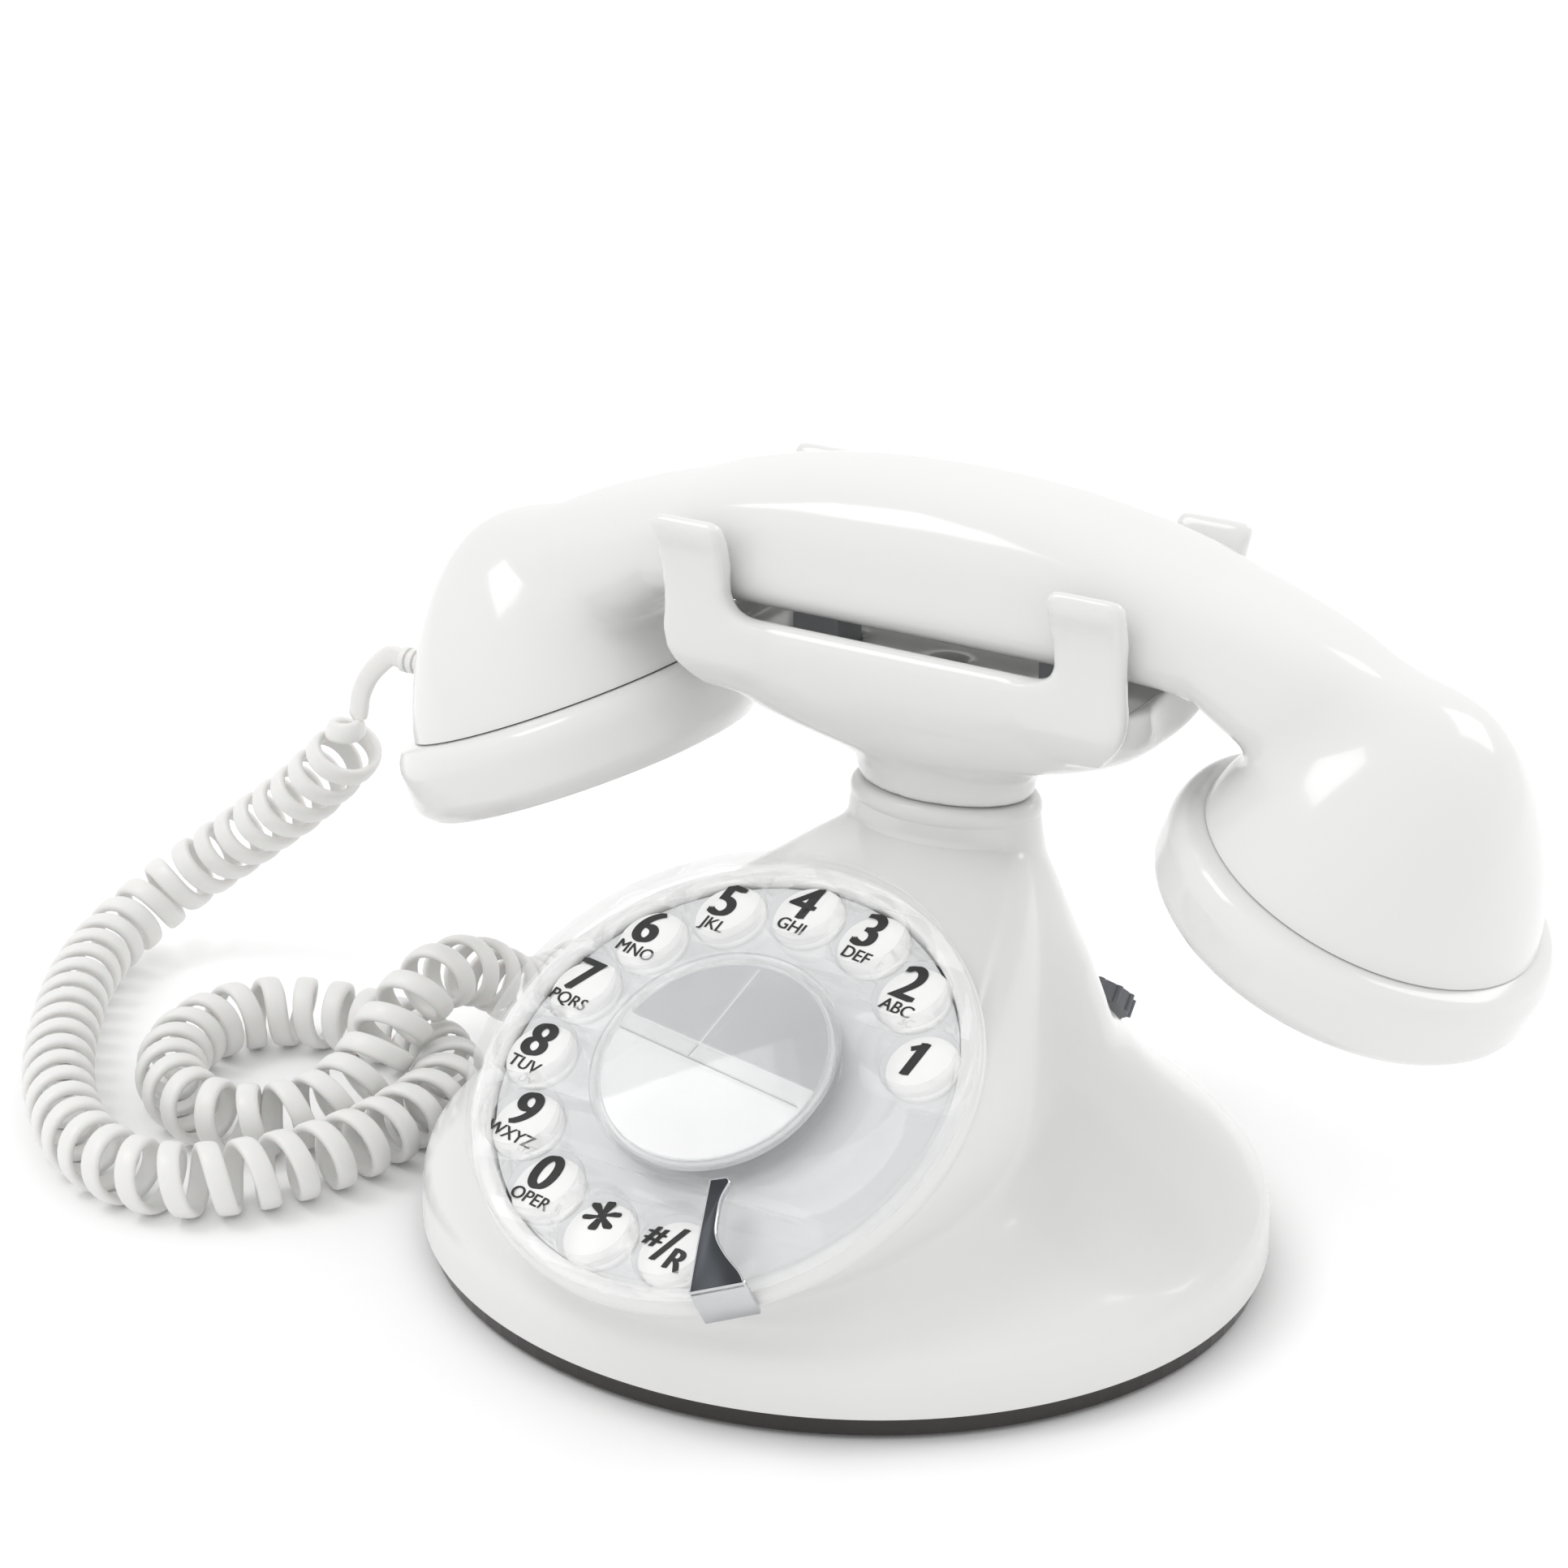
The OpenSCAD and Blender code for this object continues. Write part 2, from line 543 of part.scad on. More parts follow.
// The handle is rounder on top than below
module handle(inset) loft([for (s = HANDLE)
    [for (i = [0:31]) let (a = 360 * i / 32, p = sin(a) < 0 ? 4.5 : 2.5, h = (s[2] - s[1]) / 2 - inset)
        [s[0], neck_y + (s[3] - inset) * sign(cos(a)) * pow(abs(cos(a)), 2 / p),
            (s[1] + s[2]) / 2 + h * sign(sin(a)) * pow(abs(sin(a)), 2 / p)]]]);

module handset_shell() color("#f4f4f2") difference() {
    union() {
        for (side = [-1, 1]) at_dome(side) dome(0);
        handle(0);
    }
    for (side = [-1, 1]) at_dome(side) dome(wall);
    handle(wall);
    translate([-118, neck_y, 71]) rotate([0, 90, 0]) cylinder(r = 1.9, h = 20);
}

module cap_blank() rotate_extrude() polygon([
    [0, -cap_h + 3], [0, -cap_h + 0.6], [24, -cap_h + 0.2], [26, -cap_h], [cap_r - 3, -cap_h],
    [cap_r - 0.5, -cap_h + 2.6], [cap_r, -cap_h + 5], [cap_r, -5.6], [cap_r - 0.5, -3.4],
    [cap_r - 1.7, -1.4], [cap_r - 3.6, -0.3], [collar_r, -0.3], [collar_r, 2.4],
    [collar_r - 1.8, 2.4], [collar_r - 1.8, -cap_h + 3]]);

module sound_holes(rings) for (r = rings, i = [0:max(0, r * 1.5 - 1)])
    rotate(i * 360 / max(1, r * 1.5)) translate([r, 0, -cap_h - 1]) cylinder(r = 1.1, h = 6);

module mouth_cap() color("#f2f2f0") at_dome(-1) difference() {
    cap_blank();
    sound_holes([0, 4, 8]);
}

module ear_cap() color("#f2f2f0") at_dome(1) difference() {
    cap_blank();
    sound_holes([0, 4, 8]);
}

module capsule(h) translate([0, 0, -cap_h + 3.1]) {
    cylinder(r = 22, h = h);
    cylinder(r = 8, h = h + 2);
}

module microphone_capsule() color("#6d7073") at_dome(-1) capsule(8);

module receiver_capsule() color("#54575a") at_dome(1) capsule(10);

module handset_weight() color("#85888b") translate([-30, neck_y - 7, handle_bottom + wall + 1.3])
    cube([60, 14, 6]);

module handset_wires() color("#a33") translate([0, neck_y, 0]) cord_tube([
    [-76, 0, 73.4], [-76, 0, 80], [-73, 0, 90], [-66, 0, 98], [-55, 0, 104.6], [-42, 0, 112.5],
    [-20, 0, 114.6], [0, 0, 115], [20, 0, 114.6], [42, 0, 112.5], [55, 0, 104.6], [66, 0, 98],
    [73, 0, 90], [76, 0, 80], [76, 0, 75.2]], 2 * wire_r, 8);

module strain_relief() color("#e9e9e6") translate([-107.5, neck_y, 71]) rotate([0, -90, 0]) {
    cylinder(r = 2.4, h = 1.4);
    translate([0, 0, -2]) cylinder(r = 1.9, h = 11);
    for (i = [0:3]) translate([0, 0, 2.2 + i * 1.8]) cylinder(r = 2.4, h = 1.1);
}

module handset_lead() color("#efefec") cord_tube(LEAD_ROUTE, lead_d, 8);

module curly_cord() color("#efefec") cord_tube(CURL_ROUTE, curl_d, 10);

module base_lead() color("#efefec") cord_tube(BASE_LEAD_ROUTE, lead_d, 8);

rubber_feet();
base_plate();
base_screws();
ballast_plate();
body_shell();
neck_ring();
cradle();
stem_tube();
stem_nut();
main_board();
board_parts();
sounder();
line_socket();
cord_socket();
dial_bezel();
dial_cup();
number_plate();
number_pads();
finger_stop();
stop_screw();
mainspring();
pulse_contacts();
finger_wheel();
dial_hub();
label_card();
card_cover();
dial_shaft();
drive_gear();
governor_pinion();
governor_disc();
hook_plungers();
hook_rod();
hook_spring();
hook_switch();
volume_knob();
volume_shaft();
volume_control();
handset_shell();
mouth_cap();
ear_cap();
microphone_capsule();
receiver_capsule();
handset_weight();
handset_wires();
strain_relief();
handset_lead();
curly_cord();
base_lead();
cord_plug();
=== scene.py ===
"""A desk telephone: bell-shaped base, rotary dial under a clear finger wheel, handset on a curly cord.

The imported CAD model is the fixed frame. Lengths in this file are millimetres unless a name says otherwise,
and each piece is turned to metres once, when it is finished.
"""

import logging
import math
from dataclasses import dataclass, field
from enum import Enum
from typing import Callable, Iterable, Sequence

import bmesh
import bpy
import numpy as np
from mathutils import Matrix, Vector


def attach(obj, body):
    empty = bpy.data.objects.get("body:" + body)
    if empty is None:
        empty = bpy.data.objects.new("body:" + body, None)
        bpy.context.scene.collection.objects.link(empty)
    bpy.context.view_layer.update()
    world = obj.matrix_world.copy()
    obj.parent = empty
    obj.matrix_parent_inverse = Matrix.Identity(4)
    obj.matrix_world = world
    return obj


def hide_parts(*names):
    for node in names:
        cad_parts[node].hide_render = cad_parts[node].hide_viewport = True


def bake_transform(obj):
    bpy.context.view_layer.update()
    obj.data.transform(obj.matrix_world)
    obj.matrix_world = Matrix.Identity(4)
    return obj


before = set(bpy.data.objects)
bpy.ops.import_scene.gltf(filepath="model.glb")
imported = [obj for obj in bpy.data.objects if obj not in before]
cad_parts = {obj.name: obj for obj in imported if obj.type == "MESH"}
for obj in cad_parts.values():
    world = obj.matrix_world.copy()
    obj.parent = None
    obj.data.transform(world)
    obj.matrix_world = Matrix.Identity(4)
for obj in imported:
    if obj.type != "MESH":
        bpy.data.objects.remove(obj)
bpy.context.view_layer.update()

MM = 0.001
log = logging.getLogger("telephone")

# ---------------------------------------------------------------- materials


def linear(hex_colour: str) -> tuple[float, float, float, float]:
    """Turns an sRGB hex colour to the linear values that a shader socket takes.

    Args:
        hex_colour: six hex digits after a hash, such as "#f2f2f0".

    Returns:
        Red, green, blue and an alpha of 1.
    """
    parts = [int(hex_colour[i:i + 2], 16) / 255 for i in (1, 3, 5)]
    out = [c / 12.92 if c <= 0.04045 else ((c + 0.055) / 1.055) ** 2.4 for c in parts]
    return out[0], out[1], out[2], 1.0


def add_node(tree: bpy.types.NodeTree, kind: str, settings: dict | None = None,
             inputs: dict | None = None) -> bpy.types.Node:
    """Adds one node, sets it, and links what feeds it.

    Args:
        tree: the material's node tree.
        kind: the node's type, such as "ShaderNodeTexNoise".
        settings: attributes of the node.
        inputs: input name or number to a value, or to an output socket to link.

    Returns:
        The new node.
    """
    node = tree.nodes.new(kind)
    for key, value in (settings or {}).items():
        setattr(node, key, value)
    for key, value in (inputs or {}).items():
        if isinstance(value, bpy.types.NodeSocket):
            tree.links.new(value, node.inputs[key])
        else:
            node.inputs[key].default_value = value
    return node


class Surface(Enum):
    """How a material meets the light."""

    OPAQUE = "opaque"
    METAL = "metal"
    CLEAR = "clear"


@dataclass(frozen=True)
class Finish:
    """A surface as it is made: its colour, how it varies, and its fine texture.

    Attributes:
        name: common name of the material and how it was made.
        colour: sRGB hex colour.
        shade: sRGB hex colour that it drifts to in patches.
        rough: roughness of the smoothest patches.
        rough_span: how much rougher the dullest patches are.
        patch_mm: width of a patch of colour or gloss.
        grain_mm: width of the fine texture's grain.
        grain_depth_mm: height of that grain.
        surface: opaque, metal or clear.
        coat: weight of a clear gloss on top.
        ior: index of refraction; a metal keeps the default.
        glow: weight of the light that scatters under the surface.
        body: how much of the light the surface meets; the rest passes straight through, as it does
            through thin clear plastic.
    """

    name: str
    colour: str
    shade: str
    rough: float = 0.2
    rough_span: float = 0.06
    patch_mm: float = 30.0
    grain_mm: float = 0.8
    grain_depth_mm: float = 0.004
    surface: Surface = Surface.OPAQUE
    coat: float = 0.0
    ior: float = 1.5
    glow: float = 0.0
    body: float = 1.0

    def material(self) -> bpy.types.Material:
        """Builds the node material, or returns the one already built."""
        found = bpy.data.materials.get(self.name)
        if found:
            return found
        made = bpy.data.materials.new(self.name)
        made.use_nodes = True
        tree = made.node_tree
        tree.nodes.clear()
        place = add_node(tree, "ShaderNodeTexCoord").outputs["Object"]
        patches = add_node(tree, "ShaderNodeTexNoise", None,
                           {"Vector": place, "Scale": 1 / (self.patch_mm * MM), "Detail": 3.0})
        grain = add_node(tree, "ShaderNodeTexNoise", None,
                         {"Vector": place, "Scale": 1 / (self.grain_mm * MM), "Detail": 2.0})
        colour = add_node(tree, "ShaderNodeMix", {"data_type": "RGBA"},
                          {0: patches.outputs["Fac"], 6: linear(self.colour), 7: linear(self.shade)})
        gloss = add_node(tree, "ShaderNodeMapRange", None,
                         {"Value": patches.outputs["Fac"], "From Min": 0.3, "From Max": 0.7,
                          "To Min": self.rough, "To Max": self.rough + self.rough_span})
        relief = add_node(tree, "ShaderNodeBump", None,
                          {"Height": grain.outputs["Fac"], "Strength": 1.0,
                           "Distance": self.grain_depth_mm * MM})
        shader = add_node(tree, "ShaderNodeBsdfPrincipled", None,
                          {"Base Color": colour.outputs[2], "Roughness": gloss.outputs["Result"],
                           "Normal": relief.outputs["Normal"]})
        if self.surface is Surface.METAL:
            shader.inputs["Metallic"].default_value = 1.0
        else:
            shader.inputs["IOR"].default_value = self.ior
        if self.surface is Surface.CLEAR:
            shader.inputs["Transmission Weight"].default_value = 1.0
            shader.inputs["Alpha"].default_value = self.body
        if self.coat:
            shader.inputs["Coat Weight"].default_value = self.coat
            shader.inputs["Coat Roughness"].default_value = 0.04
        if self.glow:
            shader.inputs["Subsurface Weight"].default_value = self.glow
            shader.inputs["Subsurface Scale"].default_value = 1.5 * MM
        add_node(tree, "ShaderNodeOutputMaterial", None, {"Surface": shader.outputs["BSDF"]})
        return made


# Injection-moulded ABS straight from a polished tool: bright, even, with a faint orange peel
WHITE_ABS = Finish("glossy moulded ABS white", "#e1e1e0", "#dddddc", 0.13, 0.05, 45, 1.4, 0.0025, coat=0.25)
# The foot is the same plastic in a warm near-black, and shows every reflection
BLACK_ABS = Finish("glossy moulded ABS brown black", "#1a1413", "#221b19", 0.1, 0.06, 30, 1.2, 0.003,
                   coat=0.3)
# Cast acrylic, clear with a faint grey body
ACRYLIC = Finish("polished clear acrylic", "#f7f8f8", "#f2f4f4", 0.015, 0.01, 40, 3, 0.0005,
                 Surface.CLEAR, ior=1.49, body=0.24)
# The cap over the card is thinner, so it shows less of itself
CLEAR_CAP = Finish("thin polished clear acrylic", "#f9fafa", "#f4f5f5", 0.03, 0.01, 40, 3, 0.0005,
                   Surface.CLEAR, ior=1.49, body=0.22)
# The plate behind the wheel is painted, so it is dull beside the plastic
PLATE_PAINT = Finish("satin painted plate light grey", "#d9dadb", "#d3d4d5", 0.42, 0.08, 20, 0.5, 0.004)
# The discs that carry the digits are moulded matt, so that they can be read
PAD_PLASTIC = Finish("satin moulded pads white", "#f1f1f0", "#eaeae9", 0.38, 0.08, 8, 0.5, 0.003)
# Screen-printed ink: black and dull
INK = Finish("screen printed black ink", "#060606", "#0c0c0c", 0.45, 0.1, 3, 0.3, 0.002)
# The card's printed fields, under a gloss laminate
CARD_WHITE = Finish("laminated white card", "#e6e6e7", "#dfdfe0", 0.2, 0.06, 12, 0.4, 0.002)
CARD_GREY = Finish("laminated printed grey field", "#a9aaac", "#bdbec0", 0.22, 0.06, 16, 0.4, 0.002)
CARD_STRIP = Finish("laminated printed pale strip", "#dcdddd", "#d2d3d3", 0.22, 0.06, 12, 0.4, 0.002)
CARD_LINE = Finish("printed dark grey rule", "#7d7e80", "#8a8b8d", 0.3, 0.06, 6, 0.3, 0.001)
# Polished chrome plate, and a darker copy of it for the finger stop's flat face, whose colour is a painted
# dark reflection
CHROME = Finish("polished chrome plate", "#d6d7d9", "#c6c7ca", 0.07, 0.05, 6, 0.3, 0.001, Surface.METAL)
CHROME_PAINTED_REFLECTION = Finish("chrome painted dark reflection", "#2f3134", "#46484b", 0.24, 0.1, 9, 0.25, 0.003,
                       Surface.METAL)
# Flexible PVC has a soft skin that lets a little light through
CORD_PVC = Finish("extruded flexible PVC white", "#e7e7e5", "#dfdfdd", 0.3, 0.1, 14, 0.9, 0.006, glow=0.12)
PALE_MOULDING = Finish("moulded nylon pale grey", "#b4b6b9", "#a9abae", 0.42, 0.12, 8, 0.5, 0.012)
GREY_MOULDING = Finish("moulded nylon dark grey", "#65676b", "#595b5f", 0.42, 0.12, 8, 0.5, 0.012)
BLACK_MOULDING = Finish("moulded nylon black", "#1d1d1f", "#27272a", 0.4, 0.12, 7, 0.5, 0.01)
ZINC = Finish("zinc plated steel", "#a9adb0", "#94989c", 0.24, 0.16, 3, 0.25, 0.004, Surface.METAL)
BRASS = Finish("stamped brass", "#c9a858", "#a88a42", 0.22, 0.14, 4, 0.3, 0.004, Surface.METAL)
ALUMINIUM = Finish("spun aluminium", "#b9bbbd", "#a6a8ab", 0.26, 0.12, 5, 0.3, 0.004, Surface.METAL)
RUBBER = Finish("moulded rubber black", "#161616", "#202020", 0.7, 0.15, 5, 0.6, 0.02)
SOLDER_MASK = Finish("glass epoxy board green", "#1f5c3a", "#184a2e", 0.3, 0.1, 6, 0.8, 0.006)
WIRE_PVC = Finish("insulated hook-up wire red", "#8a2a26", "#7a221f", 0.35, 0.1, 4, 0.4, 0.004)

CAD_FINISHES = {
    RUBBER: ["rubber_feet"],
    BLACK_ABS: ["base_plate"],
    ZINC: ["base_screws", "ballast_plate", "stem_tube", "stem_nut", "stop_screw", "mainspring", "dial_shaft",
           "governor_disc", "hook_rod", "hook_spring", "volume_shaft", "handset_weight"],
    SOLDER_MASK: ["main_board"],
    BLACK_MOULDING: ["board_parts", "sounder", "line_socket", "cord_socket", "hook_switch", "volume_control"],
    ALUMINIUM: ["dial_cup", "microphone_capsule", "receiver_capsule"],
    PLATE_PAINT: ["number_plate", "dial_hub"],
    BRASS: ["pulse_contacts", "drive_gear", "governor_pinion"],
    GREY_MOULDING: ["volume_knob"],
    PALE_MOULDING: ["hook_plungers"],
    CARD_WHITE: ["label_card"],
    CORD_PVC: ["strain_relief", "cord_plug"],
    WIRE_PVC: ["handset_wires"],
}

# ---------------------------------------------------------------- making pieces


@dataclass
class Placing:
    """Where a piece belongs: its body, its slot, and the CAD nodes that it stands for."""

    body: str
    slot: str
    replaces: tuple[str, ...] = ()


def finish_piece(name: str, bm: bmesh.types.BMesh, finishes: Sequence[Finish], place: Placing | None,
                 sharp_deg: float = 38.0) -> bpy.types.Object:
    """Turns a bmesh in millimetres to a shaded object in metres, riding on its body.

    Args:
        name: name of the piece.
        bm: its mesh, which is freed.
        finishes: one finish for each material number in the mesh.
        place: its body and slot, or None for a helper.
        sharp_deg: edges that turn by more than this stay crisp.

    Returns:
        The new object.
    """
    bmesh.ops.scale(bm, vec=(MM, MM, MM), verts=bm.verts)
    bmesh.ops.recalc_face_normals(bm, faces=bm.faces)
    for face in bm.faces:
        face.smooth = True
    for edge in bm.edges:
        edge.smooth = len(edge.link_faces) == 2 and edge.calc_face_angle(0) < math.radians(sharp_deg)
    mesh = bpy.data.meshes.new(name)
    bm.to_mesh(mesh)
    bm.free()
    made = bpy.data.objects.new(name, mesh)
    bpy.context.scene.collection.objects.link(made)
    for finish in finishes:
        mesh.materials.append(finish.material())
    if place:
        settle(made, place)
    return made


def settle(made: bpy.types.Object, place: Placing) -> None:
    """Makes a piece ride on its body and hides the CAD nodes that it stands for."""
    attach(made, place.body)
    if place.replaces:
        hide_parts(*place.replaces)


def bake_modifiers(made: bpy.types.Object) -> None:
    """Replaces an object's mesh with what its modifiers make of it."""
    bpy.context.view_layer.update()
    shown = made.evaluated_get(bpy.context.evaluated_depsgraph_get())
    mesh = bpy.data.meshes.new_from_object(shown)
    made.modifiers.clear()
    made.data = mesh


def carve(made: bpy.types.Object, cutters: Iterable[bmesh.types.BMesh]) -> None:
    """Cuts solids, given in millimetres, out of a piece."""
    for number, bm in enumerate(cutters):
        cutter = finish_piece(f"cutter_{number}", bm, [], None)
        cut = made.modifiers.new("cut", "BOOLEAN")
        cut.operation = "DIFFERENCE"
        cut.solver = "MANIFOLD"
        cut.object = cutter
        bake_modifiers(made)
        bpy.data.objects.remove(cutter)


def cylinder(radius: float, low: float, high: float, sides: int = 96) -> bmesh.types.BMesh:
    """A closed upright cylinder from one height to another."""
    bm = bmesh.new()
    bmesh.ops.create_cone(bm, cap_ends=True, segments=sides, radius1=radius, radius2=radius, depth=high - low)
    bmesh.ops.translate(bm, vec=(0, 0, (low + high) / 2), verts=bm.verts)
    return bm


def box(low: Sequence[float], high: Sequence[float]) -> bmesh.types.BMesh:
    """A closed box between two corners."""
    bm = bmesh.new()
    bmesh.ops.create_cube(bm, size=1)
    size = Vector(high) - Vector(low)
    bmesh.ops.scale(bm, vec=size, verts=bm.verts)
    bmesh.ops.translate(bm, vec=(Vector(low) + Vector(high)) / 2, verts=bm.verts)
    return bm


def turned(bm: bmesh.types.BMesh, matrix: Matrix) -> bmesh.types.BMesh:
    """Moves a whole bmesh by a matrix and returns it."""
    bmesh.ops.transform(bm, matrix=matrix, verts=bm.verts)
    return bm


def joined(parts: Iterable[bmesh.types.BMesh]) -> bmesh.types.BMesh:
    """Puts several bmeshes into one, and frees them."""
    whole = bmesh.new()
    for part in parts:
        kept = bpy.data.meshes.new("part")
        part.to_mesh(kept)
        part.free()
        whole.from_mesh(kept)
        bpy.data.meshes.remove(kept)
    return whole


def filled(curve: bpy.types.Curve) -> bmesh.types.BMesh:
    """Turns a text or a flat curve to a closed mesh."""
    holder = bpy.data.objects.new(curve.name, curve)
    bpy.context.scene.collection.objects.link(holder)
    bpy.context.view_layer.update()
    mesh = bpy.data.meshes.new_from_object(holder.evaluated_get(bpy.context.evaluated_depsgraph_get()))
    bpy.data.objects.remove(holder)
    bm = bmesh.new()
    bm.from_mesh(mesh)
    bpy.data.meshes.remove(mesh)
    bmesh.ops.remove_doubles(bm, verts=bm.verts, dist=1e-4)
    return bm


def pushed(outline: Sequence[Sequence[float]], way: Sequence[float]
           ) -> tuple[bmesh.types.BMesh, bmesh.types.BMFace]:
    """Extrudes a flat outline to a solid.

    Args:
        outline: its points, in order.
        way: how far it is pushed along each axis.

    Returns:
        The solid, and the face that was pushed.
    """
    bm = bmesh.new()
    face = bm.faces.new([bm.verts.new(point) for point in outline])
    made = bmesh.ops.extrude_face_region(bm, geom=[face])["geom"]
    bmesh.ops.translate(bm, vec=way, verts=[v for v in made if isinstance(v, bmesh.types.BMVert)])
    return bm, next(f for f in made if isinstance(f, bmesh.types.BMFace))


def soften(bm: bmesh.types.BMesh, edges: Sequence[bmesh.types.BMEdge], width: float) -> None:
    """Rounds edges over a width."""
    bmesh.ops.bevel(bm, geom=edges, offset=width, segments=3, profile=0.5, affect="EDGES", material=-1)


def angles(count: int) -> np.ndarray:
    """Even steps round a full turn."""
    return np.linspace(0, 2 * math.pi, count, endpoint=False)


def level_ring(half: Sequence[float], middle_y: float, z: float, count: int,
               power: float = 2.0) -> np.ndarray:
    """A level ring of points: an ellipse, or squarer with a higher power.

    Args:
        half: half width and half depth.
        middle_y: its distance behind the origin.
        z: its height.
        count: how many points it has.
        power: 2 for an ellipse.

    Returns:
        One row a point.
    """
    across, along = np.cos(angles(count)), np.sin(angles(count))
    return np.stack([half[0] * np.sign(across) * np.abs(across) ** (2 / power),
                     middle_y + half[1] * np.sign(along) * np.abs(along) ** (2 / power),
                     np.full(count, float(z))], axis=1)


def next_ring(bm: bmesh.types.BMesh, ring: list[bmesh.types.BMVert], points: np.ndarray
              ) -> list[bmesh.types.BMVert]:
    """Extrudes a closed ring of vertices to new places.

    Args:
        bm: the mesh.
        ring: the last ring, in order.
        points: the new ring's places, in the same order.

    Returns:
        The new ring, in the same order.
    """
    edges = [bm.edges.get((ring[i - 1], ring[i])) for i in range(len(ring))]
    made = bmesh.ops.extrude_edge_only(bm, edges=edges)["geom"]
    fresh = {v for v in made if isinstance(v, bmesh.types.BMVert)}
    after = []
    for vert, point in zip(ring, points):
        twin = next(e.other_vert(vert) for e in vert.link_edges if e.other_vert(vert) in fresh)
        twin.co = point
        after.append(twin)
    return after


def skin(rings: Sequence[np.ndarray], closed_ends: bool = True) -> bmesh.types.BMesh:
    """Extrudes a circle through rings of points.

    Args:
        rings: arrays of equal length, one row a point.
        closed_ends: whether the first and last rings are filled.

    Returns:
        The new mesh.
    """
    bm = bmesh.new()
    ring = bmesh.ops.create_circle(bm, segments=len(rings[0]), radius=1)["verts"]
    for vert, point in zip(ring, rings[0]):
        vert.co = point
    first = list(ring)
    for points in rings[1:]:
        ring = next_ring(bm, ring, points)
    if closed_ends:
        bm.faces.new(first)
        bm.faces.new(ring)
    return bm


def spun(profile: Sequence[tuple[float, float]], steps: int = 128) -> bmesh.types.BMesh:
    """Spins a chain of (radius, height) points round Z; points on the axis become poles."""
    bm = bmesh.new()
    verts = [bm.verts.new((r, 0, z)) for r, z in profile]
    edges = [bm.edges.new(pair) for pair in zip(verts, verts[1:])]
    bmesh.ops.spin(bm, geom=verts + edges, axis=(0, 0, 1), cent=(0, 0, 0), angle=2 * math.pi, steps=steps,
                   use_merge=True)
    bmesh.ops.remove_doubles(bm, verts=bm.verts, dist=1e-4)
    return bm


def rounded(corners: Sequence[tuple[float, float, float]], steps: int = 5) -> list[tuple[float, float]]:
    """Rounds the corners of a chain.

    Args:
        corners: x, y and corner radius of each point; the two ends are kept as they are.
        steps: points along each rounded corner.

    Returns:
        The chain's points.
    """
    out = [corners[0][:2]]
    for before, here, after in zip(corners, corners[1:], corners[2:]):
        p, a, b = Vector(here[:2]), Vector(before[:2]), Vector(after[:2])
        cut = min(here[2], 0.45 * (a - p).length, 0.45 * (b - p).length)
        start, end = p + (a - p).normalized() * cut, p + (b - p).normalized() * cut
        for i in range(steps + 1):
            t = i / steps
            out.append(tuple(start * (1 - t) ** 2 + p * 2 * t * (1 - t) + end * t ** 2))
    out.append(corners[-1][:2])
    return out


class Smooth:
    """A smooth curve through knots that doesn't overshoot them."""

    def __init__(self, knots: Sequence[tuple[float, float]]) -> None:
        """Works out the slope at each knot from its two neighbours."""
        self.x = np.array([k[0] for k in knots], float)
        self.y = np.array([k[1] for k in knots], float)
        rise = np.diff(self.y) / np.diff(self.x)
        product, total = rise[1:] * rise[:-1], rise[1:] + rise[:-1]
        inner = np.where(product > 0, 2 * product / np.where(total == 0, 1, total), 0.0)
        self.slope = np.concatenate([[rise[0]], inner, [rise[-1]]])

    def __call__(self, at: np.ndarray | float) -> np.ndarray:
        """The curve's height at one or more places."""
        at = np.clip(at, self.x[0], self.x[-1])
        i = np.clip(np.searchsorted(self.x, at) - 1, 0, len(self.x) - 2)
        width = self.x[i + 1] - self.x[i]
        t = (at - self.x[i]) / width
        return ((2 * t**3 - 3 * t**2 + 1) * self.y[i] + (t**3 - 2 * t**2 + t) * width * self.slope[i]
                + (3 * t**2 - 2 * t**3) * self.y[i + 1] + (t**3 - t**2) * width * self.slope[i + 1])


def melt(a: np.ndarray, b: np.ndarray, reach: np.ndarray | float) -> np.ndarray:
    """Joins two distance fields with a fillet about as wide as reach."""
    near = np.clip(0.5 + 0.5 * (b - a) / reach, 0, 1)
    return b + (a - b) * near - reach * near * (1 - near)


def surface_along(form: Callable[[np.ndarray], np.ndarray], start: np.ndarray, way: np.ndarray,
                  reach: np.ndarray | float, level: float = 0.0) -> np.ndarray:
    """Finds where rays from inside a form leave it.

    Args:
        form: distance field, negative inside.
        start: one point for each ray.
        way: unit direction of each ray.
        reach: distance at which each ray is outside.
        level: value of the field at the surface that is wanted.

    Returns:
        One point for each ray.
    """
    low = np.zeros(len(start))
    high = np.broadcast_to(reach, low.shape).astype(float).copy()
    for _ in range(24):
        middle = (low + high) / 2
        inside = form(start + way * middle[:, None]) < level
        low = np.where(inside, middle, low)
        high = np.where(inside, high, middle)
    return start + way * low[:, None]


# ---------------------------------------------------------------- cord


